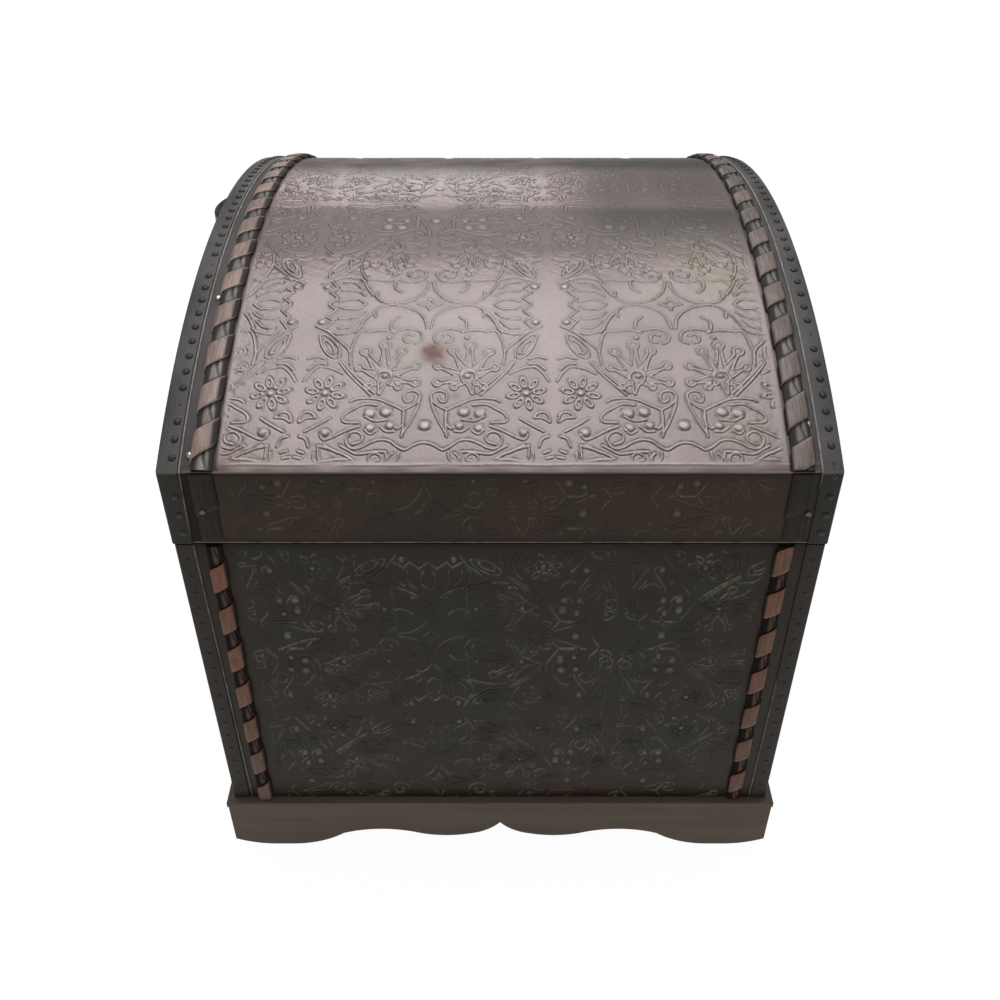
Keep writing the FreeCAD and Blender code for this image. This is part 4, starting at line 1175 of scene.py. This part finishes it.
def bead_finish(name, pale, dark, limits, clouds, rough, specular):
    """Two cloudy tones. `clouds` is the noise's scale, detail and roughness, and `limits` the values
    of it where either tone is pure."""
    finish, tree, shader = new_finish(name, Specular_IOR_Level=specular, Roughness=rough)
    cloud = noise(tree, place_of(tree), *clouds)
    base = mixed(tree, between(tree, cloud, *limits), pale, dark)
    tree.links.new(base, shader.inputs["Base Color"])
    tree.links.new(bump(tree, cloud, 0.0002, 0.3), shader.inputs["Normal"])
    return finish


def rod_along(centres, normals, across, radius):
    """Round rod: centre + radius * (cos * across + sin * normal), with its ends drawn to a point."""
    turn = np.arange(ROD_SIDES) * 2 * math.pi / ROD_SIDES
    ring = (np.cos(turn)[None, :, None] * np.asarray(across, float)[None, None]
            + np.sin(turn)[None, :, None] * normals[:, None])
    sheet = centres[:, None] + radius * ring
    sheet = np.concatenate([centres[None, :1].repeat(ROD_SIDES, 1) + 0.01 * ring[:1], sheet,
                            centres[None, -1:].repeat(ROD_SIDES, 1) + 0.01 * ring[-1:]])
    return sheet, grid_faces(len(sheet), ROD_SIDES, wrap_columns=True)


# two copies of one bead finish: the pale one is painted light, the darker one painted shade
lit_edge_bead = bead_finish("lit_edge_bead", (0.25, 0.24, 0.23), (0.13, 0.12, 0.115), (0.35, 0.7),
                        (120.0, 4.0, 0.6), rough=0.48, specular=0.35)
shaded_edge = bead_finish("shaded_edge", (0.190, 0.175, 0.150), (0.070, 0.062, 0.052), (0.40, 0.65),
                        (90.0, 5.0, 0.65), rough=0.5, specular=0.2)
print("bead finishes:", lit_edge_bead.name, shaded_edge.name)

# %% Edge beads
BRIGHT_BEAD, SHADED_BEAD, CORNER_BEAD, BEAD_SINK = 0.75, 0.6, 0.7, 0.75
CORNER_BEAD_STOPS = 12
# side, x over the dome, x low on the skirt, x at the foot and at the rim of the case
BEAD_LINES = (("left", -214.3, -216.2, (-213.4, -215.9)),
              ("right", 215.5, 217.8, (214.6, 218.2)))
first_top, last_top = np.nonzero(~ON_SKIRT)[0][[0, -1]]
for word, x, x_low, x_corner in BEAD_LINES:
    line_x = np.where(ON_SKIRT, x + (x_low - x) * np.clip((CREASE - PATH[:, 1]) / 60, 0, 1), x)
    centres = np.column_stack([line_x, PATH[:, :2] - BEAD_SINK * PATH[:, 2:]])
    normals = np.column_stack([np.zeros(len(PATH)), PATH[:, 2:]])
    for tail, part, finish, radius in (
            ("", slice(first_top, last_top + 1), lit_edge_bead, BRIGHT_BEAD),
            ("_front", slice(0, first_top + 1), shaded_edge, SHADED_BEAD),
            ("_back", slice(last_top, None), shaded_edge, SHADED_BEAD)):
        sheet, faces = rod_along(centres[part], normals[part], X_WAY, radius)
        make_piece("lid_bead_%s%s" % (word, tail), sheet, faces, "lid", finish)
    z = np.linspace(LEDGE, RIM, CORNER_BEAD_STOPS)
    lean = np.interp(z, (LEDGE, RIM), x_corner)
    for front, place_word in ((-1, "front"), (1, "back")):
        face_y = np.full(CORNER_BEAD_STOPS, front * (BODY_Y - BEAD_SINK))
        normals = np.tile((0.0, front, 0.0), (CORNER_BEAD_STOPS, 1))
        sheet, faces = rod_along(np.column_stack([lean, face_y, z]), normals, X_WAY, CORNER_BEAD)
        make_piece("corner_bead_%s_%s" % (place_word, word), sheet,
                   faces if front < 0 else faces[:, ::-1], "trunk_body", shaded_edge)

# %% [markdown]
# ## Two thin folds
# Where the dome's sheet meets the skirt's, and where the skirt is turned under at the bottom of the
# lid, the cloth makes a narrow rounded fold. Bending the covers' own grids so sharply would take
# far finer grids, and a thin rod along the edge, half sunk, gives the same line.

# %% Folds
FOLD_STOPS = 90
# name, height, finish, radius
FOLDS = (("crease_fold", LID_LOW + skirt, dome_cloth, 0.7),
         ("hem_fold", LID_LOW + 0.6, shaded_edge, 0.55))
span = np.linspace(-LID_X + LID_STRIP_WIDTH, LID_X - LID_STRIP_WIDTH, FOLD_STOPS)
wave = 0.25 * (soft_field(71, span, 0 * span, 60) - 0.5)
ends = np.repeat(np.concatenate([span[:1], span, span[-1:]]), ROD_SIDES)
fold_grime = 0.35 + 0.5 * soft_field(72, ends, 0 * ends, 70)
for front, word in ((-1, "front"), (1, "back")):
    for fold, z, finish, radius in FOLDS:
        centres = np.column_stack([span, np.full(FOLD_STOPS, front * (lid_y - 0.15)), z + wave])
        outward = np.tile((0.0, front, 0.0), (FOLD_STOPS, 1))
        sheet, faces = rod_along(centres, outward, UP, radius)
        made = make_piece("%s_%s" % (fold, word), sheet, faces[:, ::-1] if front > 0 else faces,
                          "lid", finish)
        store(made, tone=fold_grime)

# %% [markdown]
# ## Whipped lace
# This is the feature that takes the most skill. A flat lace is wound round a thin core, always the
# same way, so that its visible turns lie at a slant. An Array along a curve would repeat one turn
# exactly, and hand-wound turns differ, so all turns of a rope are worked out together, each with its
# own width, height and lean. One turn is a bent sheet with thickness: the
# first parameter goes round the core from the left foot to the right one, the second along the
# rope. Its section is a flattened arch, the whole turn is sheared along the rope in step with the
# way round, and low on the flanks it swings on like a helix: the left foot down, the right foot up.
# The dome's rope is made straight and then carried round the arc. Each turn keeps a number of its
# own, so that no two have quite the same tone.

# %% Lace and core finishes
def lace_finish(name, light, dark, rough, specular, flank=(0.014, 0.0105, 0.0085)):
    """Smooth leather with streaks drawn along the lace. `turn` runs from the dark tone to the light
    one, `low` darkens as painted shade towards the `flank` colour, and `lip` pales the edges of a
    turn as a painted highlight."""
    finish, tree, shader = new_finish(name, Specular_IOR_Level=specular)
    place = place_of(tree)
    turn, lip, low = (field(tree, word) for word in ("turn", "lip", "low"))
    cloud = noise(tree, place, 60.0, 5.0, 0.6)
    drawn = node(tree, "Mapping", {"Vector": place, "Scale": (620.0, 60.0, 60.0)}).outputs[0]
    streak = noise(tree, drawn, 1.0, 4.0, 0.6)
    fine = noise(tree, place, 800.0, 2.0, 0.6)
    base = mixed(tree, turn, dark, light)
    base = mixed(tree, between(tree, streak, 0.45, 0.72, 0, 0.65), base, toned(light, 1.7))
    base = mixed(tree, between(tree, streak, 0.48, 0.30, 0, 0.50), base, toned(dark, 0.6))
    base = mixed(tree, between(tree, cloud, 0.50, 0.75, 0, 0.5), base, toned(dark, 0.6))
    base = mixed(tree, low, base, flank)
    base = mixed(tree, lip, base, toned(light, 1.6))
    tree.links.new(base, shader.inputs["Base Color"])
    sheen = between(tree, cloud, 0.3, 0.7, rough - 0.06, rough + 0.1)
    sheen = maths(tree, "ADD", sheen, maths(tree, "MULTIPLY", low, 0.45))
    tree.links.new(sheen, shader.inputs["Roughness"])
    normal = bump(tree, fine, 0.00015, 0.4)
    tree.links.new(bump(tree, streak, 0.0004, 0.45, normal), shader.inputs["Normal"])
    return finish


lace_leather = {
    # the left rope's lace is a lit copy and the right's a shaded copy of one leather: painted light and
    # shade
    "left": lace_finish("dome_lace_lit", (0.240, 0.165, 0.143), (0.165, 0.118, 0.103), 0.38, 0.45),
    "right": lace_finish("dome_lace_shaded", (0.150, 0.116, 0.104), (0.092, 0.075, 0.066), 0.40, 0.35),
    "wall": lace_finish("wall_lace_copper", (0.170, 0.070, 0.040), (0.080, 0.053, 0.037), 0.42, 0.22),
}
core_leather = {
    "left": lace_finish("dome_core_olive", (0.150, 0.137, 0.120), (0.055, 0.049, 0.043), 0.38, 0.5),
    "right": lace_finish("dome_core_grey", (0.110, 0.100, 0.088), (0.070, 0.062, 0.055), 0.38, 0.5),
    "wall": lace_finish("wall_core_dark", (0.085, 0.052, 0.037), (0.050, 0.034, 0.025), 0.48, 0.12,
                        flank=(0.009, 0.007, 0.006)),
}
print("lace and core finishes:", len(lace_leather) + len(core_leather))

# %% Turns of lace
AROUND, ALONG = 29, 11
LACE_THICK, ROPE_LIFT = 1.1, 0.1
# sizes in mm and the slant in degrees: `band` is the lace's own width, `swing` the helix at the feet
DOME_LACE = dict(width=17.0, height=4.8, band=20.5, slant=32.0, swing=3.0)
WALL_LACE = dict(width=13.0, height=4.8, band=24.0, slant=32.0, swing=2.0)


def shell_faces(turns):
    """Faces of one closed band per turn: its loop of outer and inner lines, and both ends."""
    faces = grid_faces(AROUND, 2 * ALONG, wrap_columns=True)
    k = np.arange(ALONG - 1)
    cap = np.stack([k, k + 1, 2 * ALONG - 2 - k, 2 * ALONG - 1 - k], -1)
    each = np.concatenate([faces, cap, cap[:, ::-1] + (AROUND - 1) * 2 * ALONG])
    return (each[None] + (np.arange(turns) * AROUND * 2 * ALONG)[:, None, None]).reshape(-1, 4)


def lace_turns(centres, width, height, band, slant, swing, shadow, seed):
    """Every turn as a closed shell in rope space: x across, y along, z up from the cover. `shadow`
    gives how far out, to the left and to the right, the painted shade of the flank begins."""
    rng = np.random.default_rng(seed)
    lean = math.tan(math.radians(slant))
    phi = np.linspace(-1, 1, AROUND)[None, :, None]
    beta = np.linspace(-1, 1, ALONG)[None, None, :]
    middle = np.asarray(centres, float)[:, None, None]
    turns = len(centres)
    tall = height * (1 + rng.uniform(-0.05, 0.05, (turns, 1, 1)))
    skew = rng.uniform(-0.8, 0.8, (turns, 1, 1))
    long = band / 2 * (1 + rng.uniform(-0.05, 0.05, (turns, 1, 1)))
    number = rng.uniform(0, 1, (turns, 1, 1))
    flank = np.maximum(np.abs(phi) - 0.5, 0) / 0.5

    def skin(inset):
        """Flattened arch: x by a power of the sine, z by a power of the cosine."""
        half = width / 2 - inset
        bend = phi * math.pi / 2
        x = half * np.sign(bend) * np.abs(np.sin(bend)) ** 0.80 * (1 - 0.02 * beta ** 2)
        z = (tall - inset) * np.abs(np.cos(bend)) ** 0.50 * (1 - 0.06 * beta ** 4)
        y = (middle + (long - inset * 0.3) * beta * (1 - 0.10 * flank) + x * lean + skew * phi
             + np.sign(phi) * swing * flank ** 1.5)
        return np.stack(np.broadcast_arrays(x, y, np.maximum(z, 0.05)), -1)

    loop = np.concatenate([skin(0.0), skin(LACE_THICK)[:, :, ::-1]], axis=2)
    both = np.concatenate([beta, beta[:, :, ::-1]], axis=2)
    share = np.sign(phi) * np.abs(np.sin(phi * math.pi / 2)) ** 0.80
    dark = np.clip((share - shadow[1]) / 0.22, 0, 1) + np.clip((-share - shadow[0]) / 0.15, 0, 1)
    # low: painted shade on the flanks; lip: painted highlight along both edges of each turn
    fields = {"turn": number + 0 * phi + 0 * both,
              "lip": 0.55 * np.abs(both) ** 14 * (1 - flank) + 0 * number,
              "low": 0.95 * dark + 0 * both + 0 * number}
    return loop.reshape(-1, 3), shell_faces(turns), fields


def round_the_dome(points, x):
    """Rope space to the dome: y is the run from the front crease, z the height over the cover."""
    angle = HALF_ANGLE - points[:, 1] / RADIUS
    return dome_point(points[:, 0] + x, angle, COVER_RADIUS + ROPE_LIFT + points[:, 2])


def down_the_front(points, x):
    """Rope space to the front: y is the height, z the distance out from the cover."""
    return np.column_stack([points[:, 0] + x, -(BODY_Y - STRIP) - ROPE_LIFT - points[:, 2],
                            points[:, 1]])


print("faces of one turn:", len(shell_faces(1)))

# %% The core
CORE_STEP = 1.2


def core_rope(start, length, half, height, centres, lace, ridge, seed):
    """Folded cord: a low half oval (half * cos, height * sin) with furrows that curl in step with
    the turns; `low` paints shade on its sides and in the furrows, and shadow in bands under the edges
    of the turns."""
    y = steps(start, start + length, CORE_STEP)[:, None]
    turn = np.linspace(0, math.pi, 33)[None, :]
    middle = np.asarray(centres)[np.abs(y - np.asarray(centres)[None, :]).argmin(1)][:, None]
    pitch = abs(centres[-1] - centres[-2])
    curl = 0.35 * np.cos(2 * math.pi * (y - middle) / pitch - 1.0)
    furrow = np.exp(-((turn - 1.10 + curl) / 0.11) ** 2)
    rise = (1 + 0.06 * (soft_field(seed, y, 0 * y, 23) - 0.5)) * (1 - 0.28 * furrow)
    x = half * np.cos(turn)
    sheet = np.stack(np.broadcast_arrays(x, y, height * rise * np.sin(turn) ** 0.8), -1)
    # painted shade on both sides of the core, leaving a lit ridge on top
    low = np.clip((np.abs(np.cos(turn + 0.12)) - ridge) * 4, 0, 1)
    slant = math.tan(math.radians(lace["slant"]))
    # painted shadow in a band under the edge of each turn
    from_turn = np.abs(y - middle - x * slant) - lace["band"] / 2
    under = np.exp(-(np.maximum(from_turn, 0) / np.where(y > middle, 1.6, 2.6)) ** 2)
    fields = {"turn": soft_field(seed + 2, y, 0 * y, 15) + 0 * turn,
              "low": np.clip(low + 0.75 * furrow + under, 0, 0.96),
              "lip": 0.45 * np.exp(-((turn - 0.91 + curl) / 0.07) ** 2) + 0 * y}
    return sheet.reshape(-1, 3), grid_faces(*sheet.shape[:2]), fields


print("stops along a dome core:", len(steps(0.75, DOME_RUN - 0.75, CORE_STEP)))


# %% Two ropes over the dome
# side, x, runs of the first three turns, pitch, where the painted shade of the flanks begins, seed
DOME_ROPES = (("left", -199.2, (23.8, 59.3, 95.6), 36.0, (0.97, 0.45), 5),
              ("right", 203.0, (11.0, 46.0, 81.0), 35.0, (0.80, 0.72), 9))
for word, x, first, pitch, shadow, seed in DOME_ROPES:
    centres = np.concatenate([first, np.arange(first[-1] + pitch, DOME_RUN - 11, pitch)])
    points, faces, fields = lace_turns(centres, shadow=shadow, seed=seed, **DOME_LACE)
    points[:, 1] = np.clip(points[:, 1], 0.8, DOME_RUN - 0.8)
    made = make_piece("dome_lace_turns_" + word, round_the_dome(points, x), faces, "lid",
                      lace_leather[word], ("dome_lace_" + word,))
    store(made, **fields)
    points, faces, fields = core_rope(0.75, DOME_RUN - 1.5, 7.4, 3.9, centres, DOME_LACE, 0.38, seed)
    # painted shade: the core darker towards the back of the dome, where the turns shade it
    front_share = 1 - 0.85 * fade(points[:, 1], 30, 190)
    fields["turn"] = np.clip(front_share + 0.5 * (fields["turn"].ravel() - 0.5), 0, 1)
    made = make_piece("dome_core_" + word, round_the_dome(points, x), faces[:, ::-1], "lid",
                      core_leather[word], ("dome_lace_core_" + word,))
    store(made, **fields)
    print(word, "rope:", len(centres), "turns over the dome")

# %% Two ropes down the front
WALL_PITCH = 42.4
# side, x, height of the first turn, seed
WALL_ROPES = (("left", -201.5, RIM - 30.0, 15), ("right", 201.0, RIM - 13.0, 19))
for word, x, first, seed in WALL_ROPES:
    centres = np.arange(first, LEDGE + 4, -WALL_PITCH)
    points, faces, fields = lace_turns(centres, shadow=(0.85, 0.68), seed=seed, **WALL_LACE)
    points[:, 1] = np.clip(points[:, 1], LEDGE + 0.2, RIM - 0.2)
    made = make_piece("front_lace_turns_" + word, down_the_front(points, x), faces, "trunk_body",
                      lace_leather["wall"], ("front_lace_" + word,))
    paler_up = 0.75 * (points[:, 1] - LEDGE) / (RIM - LEDGE)
    fields["turn"] = np.clip(paler_up + 0.7 * (fields["turn"].ravel() - 0.4), 0, 1)
    store(made, **fields)
    points, faces, fields = core_rope(LEDGE + 0.2, RIM - LEDGE - 0.4, 5.9, 3.3, centres, WALL_LACE,
                                      0.20, seed)
    made = make_piece("front_core_" + word, down_the_front(points, x), faces[:, ::-1], "trunk_body",
                      core_leather["wall"], ("front_lace_core_" + word,))
    store(made, **fields)
    print(word, "rope:", len(centres), "turns down the front")

# %% [markdown]
# ## Lace ends on the skirt
# The lace runs out flat over the skirt: an upper end with a slanted tip that is nailed down, and a
# lower end that comes out from under it and reaches the bottom edge. A bevelled plate would look
# stiff, so each is a pillow of two parameters, 0 to 1 across and down, whose height over the cover
# falls to nothing at its rim.

# %% Flat ends
def tab_finish():
    """Almost black leather with a pale cut rim, and painted shade on its sides and along its crease."""
    finish, tree, shader = new_finish("lace_end_leather", Specular_IOR_Level=0.12)
    place = place_of(tree)
    cloud = noise(tree, place, 45.0, 5.0, 0.6)
    fine = noise(tree, place, 600.0, 3.0, 0.6)
    base = mixed(tree, between(tree, cloud, 0.40, 0.66), (0.019, 0.0165, 0.0115), (0.034, 0.025, 0.018))
    base = mixed(tree, field(tree, "lip"), base, (0.090, 0.084, 0.066))
    base = mixed(tree, field(tree, "low"), base, (0.008, 0.0065, 0.005))
    tree.links.new(base, shader.inputs["Base Color"])
    tree.links.new(between(tree, cloud, 0.3, 0.7, 0.40, 0.52), shader.inputs["Roughness"])
    tree.links.new(bump(tree, fine, 0.0003, 0.45), shader.inputs["Normal"])
    return finish


lace_end_leather = tab_finish()


def flat_end(name, front, left, right, top, tip_left, tip_right, thick, lift):
    """Pillow on the skirt: x across, z from the top to a slanted tip, height by a squared ellipse."""
    u = np.linspace(0, 1, 25)[:, None]
    v = np.linspace(0, 1, 33)[None, :]
    tip = tip_left + (tip_right - tip_left) * u
    swell = ((1 - np.abs(2 * u - 1) ** 3) * (1 - v ** 14)) ** 0.5
    from_crease = u - 0.68 + 0.05 * np.sin(5 * v)
    crease = 0.22 * np.exp(-(from_crease / 0.05) ** 2)
    x = left + (right - left) * u + 0 * v
    z = top + (tip - top) * v
    y = front * (lid_y + lift + thick * swell - crease * swell)
    sheet = np.stack(np.broadcast_arrays(x, y, z), -1)
    sheet = tucked(sheet, np.broadcast_to((0.0, -front * 0.6, 0.0), sheet.shape))
    faces = grid_faces(*sheet.shape[:2])
    made = make_piece(name, sheet, faces[:, ::-1] if front < 0 else faces, "lid", lace_end_leather,
                      ("lace_tabs",))
    side_shade = 0.9 * np.abs(2 * u - 1) ** 5 + 0.5 * np.exp(-(from_crease / 0.07) ** 2)
    cut_rim = np.exp(-((1 - v) * (top - tip) / 0.9) ** 2) * (1 - np.abs(2 * u - 1) ** 9)
    store(made, lip=framed(0.9 * cut_rim),
          low=framed(np.clip(side_shade * (1 - v ** 9), 0, 0.95)))


# place, left, right, top, tip at its left, tip at its right, thickness, lift over the skirt
FLAT_ENDS = (("low_left", -209.0, -193.0, 392.0, LID_LOW + 1.2, LID_LOW + 1.2, 1.5, 0.0),
             ("left", -209.5, -192.0, CREASE - 1.2, 380.0, 389.0, 2.0, 0.5),
             ("low_right", 196.5, 212.0, 392.0, LID_LOW + 1.2, LID_LOW + 1.2, 1.5, 0.0),
             ("right", 195.5, 214.0, CREASE - 1.2, 378.5, 387.5, 2.0, 0.5))
for front, word in ((-1, "front"), (1, "back")):
    for end_place, *sizes in FLAT_ENDS:
        flat_end("lace_end_%s_%s" % (end_place, word), front, *sizes)

# %% [markdown]
# ## Carried-over parts
# The joiner's boards, hinges, stay and lining keep their own shapes, because they fit already. They
# get finishes with grain, cloud and wear. The plinth and the handle are close to the eye, and their
# edges would look knife-sharp, so copies of them are joined up and given eased edges with a Bevel
# modifier, which is simpler here than new grids.

# %% Finishes for boards, paper, rubber and strap
WOOD_ROUGH = 0.62


def wood_finish(name, light, dark, along):
    """Grain as noise drawn out along one axis, darker lines, a little bump."""
    finish, tree, shader = new_finish(name, Specular_IOR_Level=0.35)
    place = place_of(tree)
    stretch = [70.0, 70.0, 70.0]
    stretch[along] = 4.0
    drawn = node(tree, "Mapping", {"Vector": place, "Scale": tuple(stretch)}).outputs[0]
    figure = noise(tree, drawn, 1.0, 6.0, 0.62)
    stretch[along] = 14.0
    pores_at = node(tree, "Mapping", {"Vector": place, "Scale": toned(stretch, 4)}).outputs[0]
    pores = noise(tree, pores_at, 1.0, 3.0, 0.6)
    cloud = noise(tree, place, 6.0, 3.0, 0.5)
    halfway = [(a + b) / 2 for a, b in zip(light, dark)]
    base = ramp(tree, figure, (0.30, dark), (0.52, halfway), (0.72, light))
    base = mixed(tree, between(tree, pores, 0.55, 0.75, 0, 0.22), base, toned(dark, 0.6))
    base = mixed(tree, between(tree, cloud, 0.35, 0.7, 0, 0.35), base, toned(dark, 0.8))
    tree.links.new(base, shader.inputs["Base Color"])
    sheen = between(tree, figure, 0.3, 0.7, WOOD_ROUGH + 0.06, WOOD_ROUGH - 0.06)
    tree.links.new(sheen, shader.inputs["Roughness"])
    normal = bump(tree, figure, 0.0004, 0.35)
    tree.links.new(bump(tree, pores, 0.0003, 0.35, normal), shader.inputs["Normal"])
    return finish


STAIN = ((0.095, 0.067, 0.044), (0.080, 0.057, 0.038))
BARE_WOOD = ((0.42, 0.30, 0.19), (0.27, 0.18, 0.11))
plinth_x = wood_finish("plinth_stain_long", *STAIN, along=0)
plinth_y = wood_finish("plinth_stain_deep", *STAIN, along=1)
board_x = wood_finish("board_long", *BARE_WOOD, along=0)
board_y = wood_finish("board_deep", *BARE_WOOD, along=1)
lining_paper = plain_finish("lining_paper", (0.46, 0.40, 0.31), (0.38, 0.31, 0.22), 0.85, 400.0,
                            0.0002, Specular_IOR_Level=0.2)
strap_leather = plain_finish("strap_leather", (0.012, 0.011, 0.011), (0.022, 0.020, 0.019), 0.36,
                             700.0, 0.0002, Specular_IOR_Level=0.5)
print("woods:", plinth_x.name, plinth_y.name, board_x.name, board_y.name)

# %% Eased copies and new finishes
def softened(name, node_name, body, finish, width):
    """Merged copy of a solid with its edges eased by a width in mm."""
    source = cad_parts[node_name]
    mesh = source.data.copy()
    mesh.name = name
    piece = bpy.data.objects.new(name, mesh)
    piece.matrix_world = source.matrix_world.copy()
    bpy.context.scene.collection.objects.link(piece)
    work = bmesh.new()
    work.from_mesh(mesh)
    bmesh.ops.remove_doubles(work, verts=work.verts, dist=1e-6)
    bmesh.ops.dissolve_limit(work, angle_limit=math.radians(1), verts=work.verts, edges=work.edges)
    bmesh.ops.recalc_face_normals(work, faces=work.faces)
    work.to_mesh(mesh)
    work.free()
    mesh.materials.clear()
    mesh.materials.append(finish)
    mesh.polygons.foreach_set("use_smooth", np.ones(len(mesh.polygons), bool))
    mesh.set_sharp_from_angle(angle=math.radians(35))
    ease = piece.modifiers.new("eased edges", "BEVEL")
    ease.width = width * MM
    ease.segments = 3
    ease.limit_method = "ANGLE"
    ease.angle_limit = math.radians(35)
    ease.harden_normals = True
    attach(piece, body)
    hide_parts(node_name)
    return piece


for word, finish in (("front", plinth_x), ("back", plinth_x), ("left", plinth_y), ("right", plinth_y)):
    softened("plinth_rail_" + word, "plinth_" + word, "trunk_body", finish, 1.2)
softened("handle_caps", "side_handle_caps", "lid", cap_metal, 0.5)
softened("handle_strap", "side_handle", "lid", strap_leather, 0.9)

BY_NODE = {
    "corner_blocks": board_x, "bottom_panel": board_x, "front_panel": board_x, "back_panel": board_x,
    "left_panel": board_y, "right_panel": board_y, "lid_front_rail": board_x, "lid_back_rail": board_x,
    "lid_left_gable": board_y, "lid_right_gable": board_y, "lid_top_board": board_y,
    "body_lining": lining_paper, "lid_lining": lining_paper, "rim_pads": pad_rubber,
}
for node_name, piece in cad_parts.items():
    finish = BY_NODE.get(node_name)
    if node_name.startswith(("hinge_", "stay_")):
        finish = hinge_metal
    if finish:
        for place in range(max(1, len(piece.material_slots))):
            if not piece.material_slots:
                piece.data.materials.append(finish)
            piece.material_slots[place].material = finish
print("carried-over parts finished:", len(BY_NODE))

# %% [markdown]
# ## Nails
# A few bright nails hold the laces on the dome, and a dull one holds each upper end on the skirt.
# They are rounder than the studs and need more rings, but the same helper sets them. Those of the
# dome stand on the cover just beside the rope.

# %% Nails
LACE_NAIL, TIP_NAIL = (2.6, 0.75), (2.4, 0.6)
NAIL_LIFT, TIP_LIFT = COVER_RADIUS - RADIUS + 0.2, 2.3
nail_places, nail_outs = [], []
for x, run in ((-208.6, 13.0), (-208.8, 150.1), (209.9, 36.3), (209.2, 245.2)):
    place, out = on_dome(run, x, NAIL_LIFT)
    nail_places.append(place)
    nail_outs.append(out)
set_domes("lace_nails", nail_places, nail_outs, LACE_NAIL, "lid", nail_metal, 4, 12)
tip_places = [(x, front * (lid_y + TIP_LIFT), z)
              for x, z in ((-203.4, 386.4), (211.3, 384.6)) for front in (-1, 1)]
tip_outs = [(0.0, math.copysign(1, place[1]), 0.0) for place in tip_places]
set_domes("lace_end_nails", tip_places, tip_outs, TIP_NAIL, "lid", pewter, 4, 12)
print("nails:", len(nail_places) + len(tip_places))
